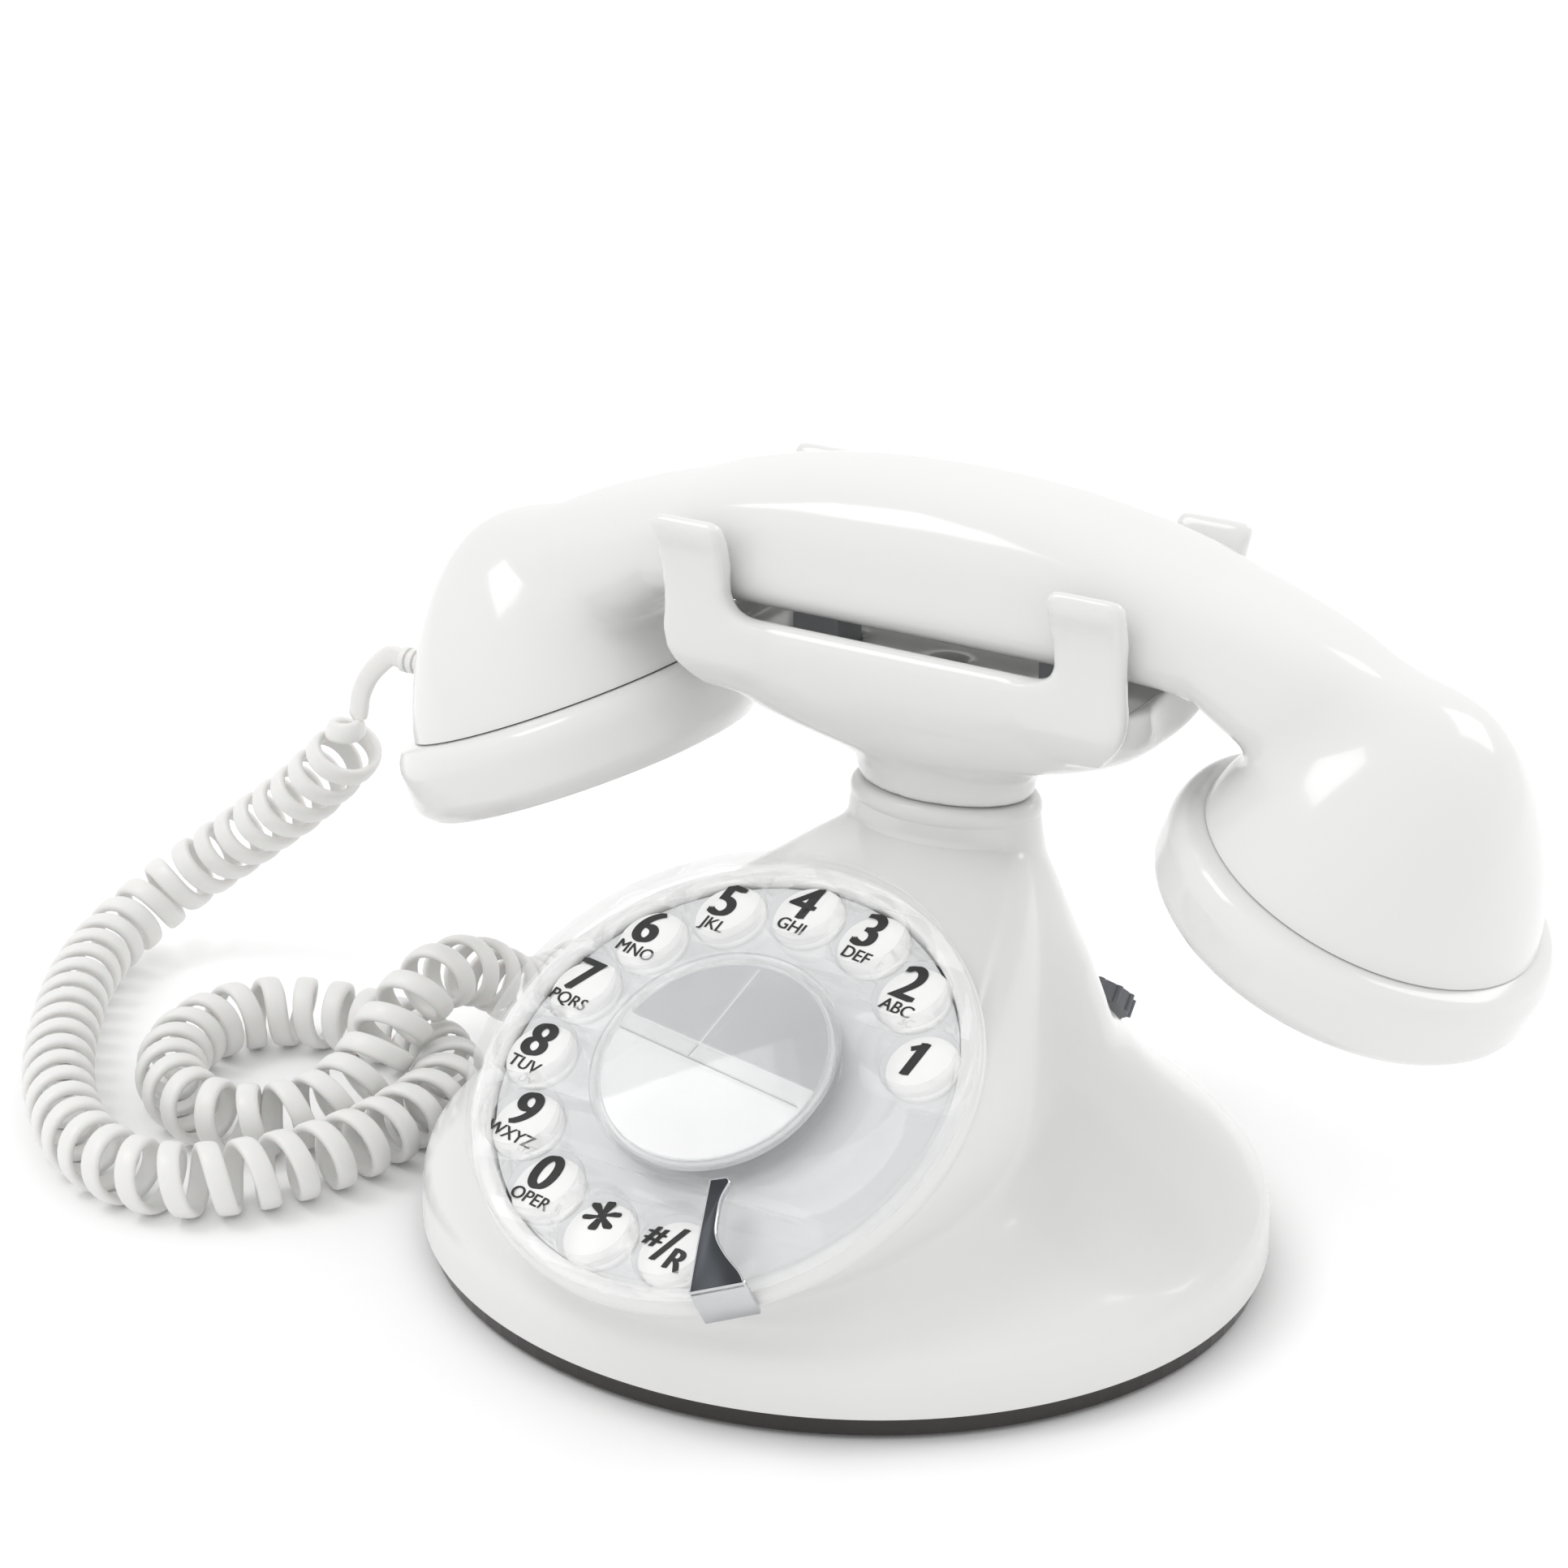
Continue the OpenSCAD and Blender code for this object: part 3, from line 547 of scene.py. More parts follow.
@dataclass
class CurlyCord:
    """The handset's cord: a flat ribbon wound into a curl, with a straight lead at each end.

    Attributes:
        lead: route from the strain relief to the first curl.
        curl: route of the curl's middle line.
        base_lead: route from the last curl to the plug.
        pitch: distance between turns.
        coil_radius: from the curl's middle line to the ribbon's middle.
        ribbon: half width and half thickness of the ribbon.
        ribbon_sides: points round the ribbon.
        ribbon_power: how square the ribbon's section is, from 2 for an oval.
        turn_points: points for each turn.
        knot_points: points between two knots of the route.
    """

    pitch: float = 6.7
    coil_radius: float = 5.75
    ribbon: tuple[float, float] = (2.0, 0.92)
    ribbon_sides: int = 12
    ribbon_power: float = 2 / 0.72
    turn_points: int = 26
    knot_points: int = 24
    lead: tuple = (
        (-116.8, 38, 71), (-119.5, 38, 71), (-122.5, 37.8, 68.5), (-124.8, 37.6, 65.6), (-126.4, 37.4, 62),
        (-127, 37, 58))
    curl: tuple = (
        (-127, 37, 58), (-129, 36, 51), (-135, 36, 44.5), (-142, 36.5, 38), (-149.5, 37, 32), (-157, 37, 26),
        (-164.5, 36, 20), (-171, 32.5, 14.5), (-174.5, 25.5, 10), (-174.5, 16, 7.6), (-171, 6, 7),
        (-165, -5, 7), (-157, -17, 7), (-148, -29, 7), (-137, -40.5, 7), (-125, -49.5, 7), (-113, -54, 7),
        (-102, -53.5, 7), (-93.5, -48, 7), (-87, -39, 7), (-82.5, -28, 7), (-80.5, -16, 7), (-81, -4, 7),
        (-85, 6, 7), (-94, 12, 7), (-105, 14, 7), (-117, 13.5, 7), (-128, 9, 7), (-134, -1, 7),
        (-132.5, -13.5, 7), (-124.5, -24.5, 7), (-113, -30, 7), (-102, -27.5, 7), (-95.5, -18.5, 7.8),
        (-93.5, -8.5, 11), (-92, 1.5, 18.5), (-90.5, 12, 22.5), (-89.5, 23, 19), (-89, 34, 11),
        (-89, 45, 7.5), (-88.5, 57, 7), (-84, 69, 7), (-74, 79, 7), (-61, 83, 7), (-49, 84, 7.6))
    base_lead: tuple = (
        (-49, 84, 7.6), (-42, 84.4, 8.2), (-36, 84, 9), (-31.5, 81.8, 9.8), (-28.4, 78.6, 10.2),
        (-27.2, 75.6, 10.3), (-27, 72.2, 10.3))

    @staticmethod
    def _length(points: np.ndarray) -> np.ndarray:
        """Distance along a line at each of its points."""
        return np.concatenate([[0], np.cumsum(np.linalg.norm(np.diff(points, axis=0), axis=1))])

    def _route(self) -> tuple[np.ndarray, float, float]:
        """The whole route as a dense smooth line, and where the curl starts and ends on it."""
        knots = np.array(self.lead + self.curl[1:] + self.base_lead[1:], float)
        padded = np.vstack([2 * knots[0] - knots[1], knots, 2 * knots[-1] - knots[-2]])
        t = np.linspace(0, 1, self.knot_points, endpoint=False)[:, None]
        dense = []
        for a, b, c, d in zip(padded, padded[1:], padded[2:], padded[3:]):
            dense.append(0.5 * (2 * b + (c - a) * t + (2 * a - 5 * b + 4 * c - d) * t**2
                                + (3 * b - a - 3 * c + d) * t**3))
        line = np.vstack(dense + [knots[-1:]])
        along = self._length(line)
        starts = along[self.knot_points * (len(self.lead) - 1)]
        ends = along[self.knot_points * (len(self.lead) + len(self.curl) - 2)]
        return line, starts, ends

    def path(self) -> tuple[np.ndarray, np.ndarray]:
        """The ribbon's middle line, and the way that its flat side faces at each point."""
        line, starts, ends = self._route()
        along = self._length(line)
        step = self.pitch / self.turn_points
        at = np.linspace(0, along[-1], int(along[-1] / step))
        centre = np.stack([np.interp(at, along, line[:, k]) for k in range(3)], axis=1)
        ahead = np.gradient(centre, axis=0)
        ahead /= np.linalg.norm(ahead, axis=1)[:, None]
        side = np.zeros_like(ahead)
        side[0] = np.cross(ahead[0], (0, 0, 1))
        for i in range(1, len(at)):
            side[i] = side[i - 1] - ahead[i] * np.dot(side[i - 1], ahead[i])
            side[i] /= np.linalg.norm(side[i])
        over = np.cross(ahead, side)
        grow = np.clip((at - starts) / self.pitch, 0, 1) * np.clip((ends - at) / self.pitch, 0, 1)
        grow = grow * grow * (3 - 2 * grow)
        phase = 2 * math.pi * np.clip(at - starts, 0, ends - starts) / self.pitch
        outward = side * np.cos(phase)[:, None] + over * np.sin(phase)[:, None]
        return centre + outward * (self.coil_radius * grow)[:, None], outward

    def build(self) -> bpy.types.Object:
        """Sweeps the ribbon along its route and hides the CAD cord pieces that it stands for.

        Returns:
            The cord.
        """
        line, outward = self.path()
        ahead = np.gradient(line, axis=0)
        ahead /= np.linalg.norm(ahead, axis=1)[:, None]
        flat = outward - ahead * np.sum(outward * ahead, axis=1)[:, None]
        flat /= np.linalg.norm(flat, axis=1)[:, None]
        broad = np.cross(ahead, flat)
        wide, thick, _ = level_ring(self.ribbon, 0, 0, self.ribbon_sides, self.ribbon_power).T
        rings = [p + np.outer(wide, b) + np.outer(thick, f) for p, b, f in zip(line, broad, flat)]
        made = finish_piece("curly_handset_cord", skin(rings), [CORD_PVC], None, 60)
        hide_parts("curly_cord", "handset_lead", "base_lead")
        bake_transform(made)
        return made


# ---------------------------------------------------------------- base and neck


@dataclass
class Dial:
    """Place and sizes of the dial, in its own frame: Z is its axis, and 0 is the wheel's face.

    Attributes:
        centre: middle of the wheel's face.
        tilt_deg: how far the dial leans back from level.
        hole_ring: distance of the finger holes from the axis.
        plate_level: height of the shell's flat behind the dial.
        number_level: height of the plate that the pads stand on.
        print_shift: how far the digits stand from the pads' middles, so that they read through the holes
            from the front right.
        stop_deg: direction of the finger stop.
        card_turn_deg: how far the print is turned from level.
        marks: big mark and small letters at each hole.
    """

    centre: tuple[float, float, float] = (0.0, -36.2, 48.9)
    tilt_deg: float = 31.3
    wheel_radius: float = 42.5
    wheel_depth: float = 4.0
    hole_ring: float = 33.1
    hole_radius: float = 6.6
    first_hole_deg: float = 20.2
    hole_step_deg: float = 24.05
    card_radius: float = 19.6
    plate_level: float = -9.0
    number_level: float = -5.8
    pad_height: float = 0.95
    pad_radius: float = 6.3
    print_shift: tuple[float, float] = (-2.0, 0.7)
    stop_deg: float = -60.0
    card_turn_deg: float = -8.0
    marks: tuple[tuple[str, str], ...] = (
        ("1", ""), ("2", "ABC"), ("3", "DEF"), ("4", "GHI"), ("5", "JKL"), ("6", "MNO"), ("7", "PQRS"),
        ("8", "TUV"), ("9", "WXYZ"), ("0", "OPER"), ("*", ""), ("#/R", ""))

    @property
    def matrix(self) -> Matrix:
        """From the dial's own frame to the telephone's."""
        return Matrix.Translation(self.centre) @ Matrix.Rotation(math.radians(self.tilt_deg), 4, "X")

    @property
    def normal(self) -> np.ndarray:
        """The way the dial faces."""
        tilt = math.radians(self.tilt_deg)
        return np.array((0, -math.sin(tilt), math.cos(tilt)))

    def spot(self, number: int) -> tuple[float, float]:
        """Middle of one finger hole in the dial's own frame."""
        angle = math.radians(self.first_hole_deg + number * self.hole_step_deg)
        return self.hole_ring * math.cos(angle), self.hole_ring * math.sin(angle)

    def _bezel(self) -> None:
        """The soft white ring round the plate."""
        profile = rounded([(39.2, -9.1, 0), (39.2, -4.7, 0.5), (40.2, -4.4, 0.6), (42.9, -4.5, 1.5),
                           (42.95, -7.4, 1.4), (41.4, -9.2, 0.6), (39.2, -9.1, 0)])
        finish_piece("dial_bezel_ring", turned(spun(profile, 160), self.matrix), [WHITE_ABS],
                     Placing("base", "white_plastic", ("dial_bezel",)))

    def _pads(self) -> None:
        """The white discs that the digits are printed on."""
        top = self.number_level + self.pad_height
        profile = rounded([(0, top, 0), (4.6, top - 0.02, 2), (self.pad_radius - 0.05, top - 0.3, 0.4),
                           (self.pad_radius, self.number_level - 0.2, 0)])
        bm = joined(turned(spun(profile, 48), Matrix.Translation((*self.spot(number), 0)))
                    for number in range(len(self.marks)))
        bmesh.ops.holes_fill(bm, edges=[e for e in bm.edges if e.is_boundary], sides=0)
        finish_piece("dial_pads", turned(bm, self.matrix), [PAD_PLASTIC],
                     Placing("base", "white_pads", ("number_pads",)))

    def _print(self, name: str, words: str, size: float, at: tuple[float, float], level: float,
               bold: float) -> None:
        """One printed mark, upright to the reader.

        Args:
            name: name of the piece.
            words: what it says.
            size: height of its letters' frame.
            at: its middle in the dial's own frame.
            level: height of the surface it is printed on.
            bold: how much its strokes are widened on each side.
        """
        curve = bpy.data.curves.new(name, "FONT")
        curve.body = words
        curve.size = size
        curve.align_x, curve.align_y = "CENTER", "CENTER"
        curve.extrude = 0.02
        curve.shear = 0.04
        bm = filled(curve)
        # three prints, a little apart, make the strokes bolder
        moves = [Matrix.Translation((side * bold, side * bold / 3, 0.004 * (2 + side))) for side in (-1, 1)]
        layers = [bm] + [turned(bm.copy(), move) for move in moves]
        if words == "1":
            # the font's own 1 has no flag
            place = Matrix.Translation((-0.75, size * 0.25, 0)) @ Matrix.Rotation(-0.95, 4, "Z")
            layers.append(turned(box((-0.45, -1.1, -0.02), (0.45, 1.1, 0.02)), place))
        turn = Matrix.Translation((*at, level + 0.03)) @ Matrix.Rotation(
            math.radians(self.card_turn_deg), 4, "Z")
        finish_piece(name, turned(turned(joined(layers), turn), self.matrix), [INK],
                     Placing("base", "black_parts"))

    def _marks(self) -> None:
        """Digits, letters and signs on the pads."""
        level = self.number_level + self.pad_height
        for number, (big, small) in enumerate(self.marks):
            x, y = (a + b for a, b in zip(self.spot(number), self.print_shift))
            lift = 1.6 if small else 0.0
            if big == "#/R":
                signs = (("hash", "#", 5.2, -2.7, 1.4), ("slash", "/", 10.0, 0.1, 0.2),
                         ("recall", "R", 5.6, 2.6, -1.9))
                for label, sign, size, dx, dy in signs:
                    self._print(f"sign_{label}", sign, size, (x + dx, y + dy), level, 0.24)
                continue
            size = 13.0 if big == "*" else 9.6
            self._print(f"digit_{number + 1}", big, size, (x, y + lift), level, 0.36)
            if small:
                self._print(f"letters_{number + 1}", small, 3.2, (x, y - 3.2), level, 0.06)

    def _wheel(self) -> None:
        """The clear finger wheel: a flat curve with rounded edges, so its holes have soft rims."""
        curve = bpy.data.curves.new("finger_wheel_clear", "CURVE")
        curve.dimensions = "2D"
        curve.fill_mode = "BOTH"
        edge = 0.35
        curve.extrude = self.wheel_depth / 2 - edge
        curve.bevel_depth = edge
        curve.bevel_resolution = 3
        circles = [(0.0, 0.0, self.wheel_radius - edge), (0.0, 0.0, self.card_radius + 0.3 + edge)]
        circles += [(*self.spot(i), self.hole_radius + edge) for i in range(len(self.marks))]
        for x, y, radius in circles:
            count = 160 if radius > 15 else 56
            line = curve.splines.new("POLY")
            line.points.add(count - 1)
            for a, point in zip(angles(count), line.points):
                point.co = (x + radius * math.cos(a), y + radius * math.sin(a), 0, 1)
            line.use_cyclic_u = True
        sunk = Matrix.Translation((0, 0, -self.wheel_depth / 2))
        finish_piece("finger_wheel_clear", turned(turned(filled(curve), sunk), self.matrix), [ACRYLIC],
                     Placing("dial", "clear_plastic", ("finger_wheel",)))

    def _disc_part(self, name: str, finish: Finish, level: float, planes: Sequence[tuple]) -> None:
        """A printed field of the card: a disc cut back by planes.

        Args:
            name: name of the piece.
            finish: its print.
            level: its height in the dial's own frame.
            planes: (point, normal) pairs; what lies on the normal's side is cut off.
        """
        bm = cylinder(self.card_radius - 0.7, level, level + 0.03, 128)
        for point, normal in planes:
            cut = bmesh.ops.bisect_plane(bm, geom=bm.verts[:] + bm.edges[:] + bm.faces[:], plane_co=point,
                                         plane_no=normal, clear_outer=True)
            edges = [e for e in cut["geom_cut"] if isinstance(e, bmesh.types.BMEdge)]
            bmesh.ops.edgeloop_fill(bm, edges=edges)
        finish_piece(name, turned(bm, self.matrix), [finish], Placing("dial", "card"))

    def _card(self) -> None:
        """The card's plain fields and rules, with its words left out."""
        a0, a1 = Vector((-20.1, 4.6, 0)), Vector((20.2, -0.8, 0))
        b0, b1 = Vector((-20.4, 1.5, 0)), Vector((17.6, -4.0, 0))
        up = Vector((0.133, 0.991, 0))
        self._disc_part("card_upper_field", CARD_GREY, 0.0, [(a0, -up)])
        self._disc_part("card_strip", CARD_STRIP, 0.0, [(a0, up), (b0, -up)])
        rules = [(a0 * 0.93, a1 * 0.93, 0.16), (b0 * 0.93, b1, 0.1), (Vector((-1.3, 18.3, 0)),
                 Vector((-4.1, 2.4, 0)), 0.16), (Vector((-4.2, 2.0, 0)), Vector((-4.8, -0.4, 0)), 0.1)]
        for number, (start, end, half) in enumerate(rules):
            length = (end - start).length
            bm = box((0, -half, 0.03), (length, half, 0.06))
            angle = math.atan2(end.y - start.y, end.x - start.x)
            place = Matrix.Translation(start) @ Matrix.Rotation(angle, 4, "Z")
            finish = CARD_WHITE if number in (0, 2) else CARD_LINE
            finish_piece(f"card_rule_{number + 1}", turned(turned(bm, place), self.matrix), [finish],
                         Placing("dial", "card"))

    def _cover(self) -> None:
        """The clear cap over the card, with a soft rolled rim."""
        r = self.card_radius
        profile = rounded([(0, 1.5, 0), (r + 0.6, 1.5, 0.7), (r + 1.4, 0.8, 0.5), (r + 1.4, 0.02, 0.1),
                           (r - 0.5, 0.02, 0.1), (r - 0.5, 0.6, 0.2), (0, 0.6, 0)])
        finish_piece("card_cover_clear", turned(spun(profile, 128), self.matrix), [CLEAR_CAP],
                     Placing("dial", "clear_plastic", ("card_cover",)))

    def _stop(self) -> None:
        """The finger stop: a chrome blade with bright edges and a flat face darkened by a painted reflection,
        folded down over the bezel.
        """
        outline = rounded([(24.0, -0.9, 0), (35, -3.1, 1), (44.3, -4.8, 0.3), (44.3, 4.2, 0.3),
                           (42.2, 3.6, 1), (38.3, 1.2, 2), (34.4, -0.3, 2), (28, 0.8, 3), (25.2, 2.5, 0.6),
                           (24.2, 2.1, 0.4), (24.0, -0.9, 0)], 4)[:-1]
        bm, top = pushed([(x, y, 0.9) for x, y in outline], (0, 0, 1.0))
        soften(bm, list(top.edges), 0.28)
        bm.normal_update()
        # the big flat top faces take the darker copy of the chrome, a painted dark reflection
        for face in bm.faces:
            flat = abs(face.normal.z) > 0.99 and face.calc_area() > 40 and face.calc_center_median().z > 1.5
            face.material_index = 1 if flat else 0
        turn = self.matrix @ Matrix.Rotation(math.radians(self.stop_deg), 4, "Z")
        finish_piece("finger_stop_blade", turned(bm, turn), [CHROME, CHROME_PAINTED_REFLECTION],
                     Placing("base", "chrome", ("finger_stop",)), 25)
        tab = box((43.3, -4.8, -7.2), (44.3, 4.2, 1.7))
        soften(tab, tab.edges[:], 0.25)
        finish_piece("finger_stop_tab", turned(tab, turn), [CHROME], Placing("base", "chrome"), 25)

    def build(self) -> None:
        """Makes every piece of the dial."""
        for part in (self._bezel, self._pads, self._marks, self._wheel, self._card, self._cover, self._stop):
            part()
            log.info("dial: %s", part.__name__.strip("_"))


@dataclass
class Base:
    """The bell-shaped shell, its foot band and the neck ring.

    Attributes:
        dial: the dial that the shell carries.
        rim: height at which the shell meets the foot.
        top: height at which the neck ring starts.
        foot: half width, half depth and middle of the rim.
        wall: thickness of the moulding.
        neck_y: distance of the neck behind the origin.
        neck: half width and half depth of the neck.
        collar: half width and half depth of the collar, without its bulge.
        fillet: width of the fillet between the bell and the dial's pod.
        pod_disc: radius of the pod where it carries the dial.
        pod_foot: radius, distance and height of the circle low in the bell that the pod grows from.
        segments: points round the shell.
        width: share of the rim's half width at each height.
        depth: share of the rim's half depth at each height.
        lean: distance of the section's middle behind the rim's middle at each height.
    """

    dial: Dial
    rim: float = 4.5
    top: float = 68.5
    foot: tuple[float, float, float] = (73.8, 68.5, 4.0)
    wall: float = 2.4
    neck_y: float = 38.0
    neck: tuple[float, float] = (16.6, 11.5)
    collar: tuple[float, float] = (16.3, 10.7)
    fillet: float = 13.0
    pod_disc: float = 41.2
    pod_foot: tuple[float, float, float] = (43.0, -2.0, 19.0)
    segments: int = 240
    width: Smooth = field(default_factory=lambda: Smooth([
        (4.5, 1.0), (10, 0.998), (13, 0.988), (16, 0.951), (19, 0.895), (22, 0.82), (25.5, 0.72), (29, 0.625),
        (33, 0.535), (38, 0.465), (44, 0.39), (50, 0.33), (56, 0.285), (62, 0.252), (70, 0.236)]))
    depth: Smooth = field(default_factory=lambda: Smooth([
        (4.5, 1.0), (10, 0.996), (13, 0.985), (16, 0.947), (19, 0.89), (22, 0.82), (25.5, 0.74), (29, 0.66),
        (33, 0.55), (38, 0.45), (44, 0.35), (50, 0.265), (56, 0.215), (62, 0.185), (70, 0.17)]))
    lean: Smooth = field(default_factory=lambda: Smooth([
        (4.5, 0), (14, 0), (19, 1.5), (22, 3), (25.5, 6), (29, 10), (33, 15), (38, 21), (44, 26.5),
        (50, 30.5), (56, 33), (62, 33.8), (70, 34)]))

    def _hull(self) -> tuple[np.ndarray, np.ndarray]:
        """Directions, and how far the pod that carries the dial reaches in each.

        The pod is the tightest convex form round the dial's disc, a circle low in the bell, and the neck.
        """
        count = 2600
        i = np.arange(count) + 0.5
        tall = 1 - 2 * i / count
        turn = math.pi * (1 + 5 ** 0.5) * i
        flat = np.sqrt(1 - tall**2)
        way = np.stack([flat * np.cos(turn), flat * np.sin(turn), tall], axis=1)
        normal = self.dial.normal
        plate = np.array(self.dial.centre) + normal * self.dial.plate_level
        across = way - np.outer(way @ normal, normal)
        disc = way @ plate + self.pod_disc * np.linalg.norm(across, axis=1)
        radius, y, z = self.pod_foot
        low = way @ np.array((0, y, z)) + radius * np.linalg.norm(way[:, :2], axis=1)
        neck = np.maximum(way[:, 2] * 20, way[:, 2] * 64) + way[:, 1] * self.neck_y
        neck = neck + np.hypot(way[:, 0] * self.neck[0], way[:, 1] * self.neck[1])
        return way, np.maximum(np.maximum(disc, low), neck)

    def form(self) -> Callable[[np.ndarray], np.ndarray]:
        """The shell's outer form as a distance field."""
        way, reach = self._hull()
        normal = self.dial.normal
        plate = float(np.array(self.dial.centre) @ normal) + self.dial.plate_level

        def field_at(p: np.ndarray) -> np.ndarray:
            """Distance from the form at each point, negative inside."""
            z = p[:, 2]
            a, b = self.foot[0] * self.width(z), self.foot[1] * self.depth(z)
            y = p[:, 1] - self.foot[2] - self.lean(z)
            bell = (np.hypot(p[:, 0] / a, y / b) - 1) * np.minimum(a, b)
            gaps = p @ way.T - reach
            peak = gaps.max(axis=1)
            soft = 0.35
            pod = peak + soft * np.log(np.exp((gaps - peak[:, None]) / soft).sum(axis=1) / 6)
            fillet = np.interp(z, (10, 18, 44, 62), (1, self.fillet, self.fillet, 1))
            return np.maximum(melt(bell, pod, fillet), p @ normal - plate)

        return field_at

    def _rings(self, inset: float, heights: np.ndarray) -> list[np.ndarray]:
        """Level rings of the form, a given depth below its surface."""
        form = self.form()
        way = level_ring((1, 1), 0, 0, self.segments)
        rings = []
        for z in heights:
            y = np.interp(z, (4.5, 20, 45, 62, 70), (4, 4, 22, 37, 38))
            start = np.tile((0, y, z), (self.segments, 1))
            rings.append(surface_along(form, start, way, 90.0, -inset))
        return rings

    def _shell(self) -> None:
        """The white shell, hollow inside, with its recess for the dial and its openings at the back."""
        heights = np.concatenate([[self.rim, self.rim + 0.4], np.linspace(6.5, 24, 30),
                                  np.linspace(24.8, 62, 50), np.linspace(62.6, self.top, 10)])
        outer = self._rings(0.0, heights)
        inner = self._rings(self.wall, np.concatenate([[self.rim], np.linspace(6, 56, 40)]))
        bm = skin(inner[::-1] + outer)
        made = finish_piece("base_shell_smooth", bm, [WHITE_ABS], None, 30)
        m = self.dial.matrix
        cuts = [turned(cylinder(35.8, -31.0, 5.0), m), turned(cylinder(38.95, -11.9, 5.0), m),
                turned(cylinder(5.05, 40, 80, 48), Matrix.Translation((0, self.neck_y, 0)))]
        for side in (-1, 1):
            cuts.append(box((side * 27 - 6.1, 52, 5.5), (side * 27 + 6.1, 76, 15.1)))
        tilt = Matrix.Translation((16, 62.2, 21.3)) @ Matrix.Rotation(math.radians(-42.5), 4, "X")
        cuts.append(turned(cylinder(3.2, -10, 4, 48), tilt))
        carve(made, cuts)
        settle(made, Placing("base", "white_plastic", ("body_shell",)))

    def _band(self) -> None:
        """The glossy dark band round the foot."""
        a, b, y = self.foot
        profile = rounded([(6, 1.0, 0), (1.6, 1.0, 0.5), (1.15, 4.45, 0.3), (6, 4.45, 0)], 4)
        rings = [level_ring((a - inset, b - inset), y, z, self.segments) for inset, z in profile]
        bm = skin(rings, closed_ends=False)
        bmesh.ops.bridge_loops(bm, edges=[e for e in bm.edges if e.is_boundary])
        finish_piece("foot_band", bm, [BLACK_ABS], Placing("base", "black_plastic"))

    def _neck_ring(self) -> None:
        """The rounded collar between the bell and the cradle."""
        rings = []
        for turn in np.radians(np.linspace(-90, 90, 15)):
            bulge, rise = 1.5 * math.cos(turn), 2 * math.sin(turn)
            rings.append(level_ring([half + bulge for half in self.collar], self.neck_y, 69 + rise, 160))
        finish_piece("neck_collar", skin(rings), [WHITE_ABS],
                     Placing("base", "white_plastic", ("neck_ring",)))

    def build(self) -> None:
        """Makes the shell, the band and the collar."""
        for part in (self._shell, self._band, self._neck_ring):
            part()
            log.info("base: %s", part.__name__.strip("_"))


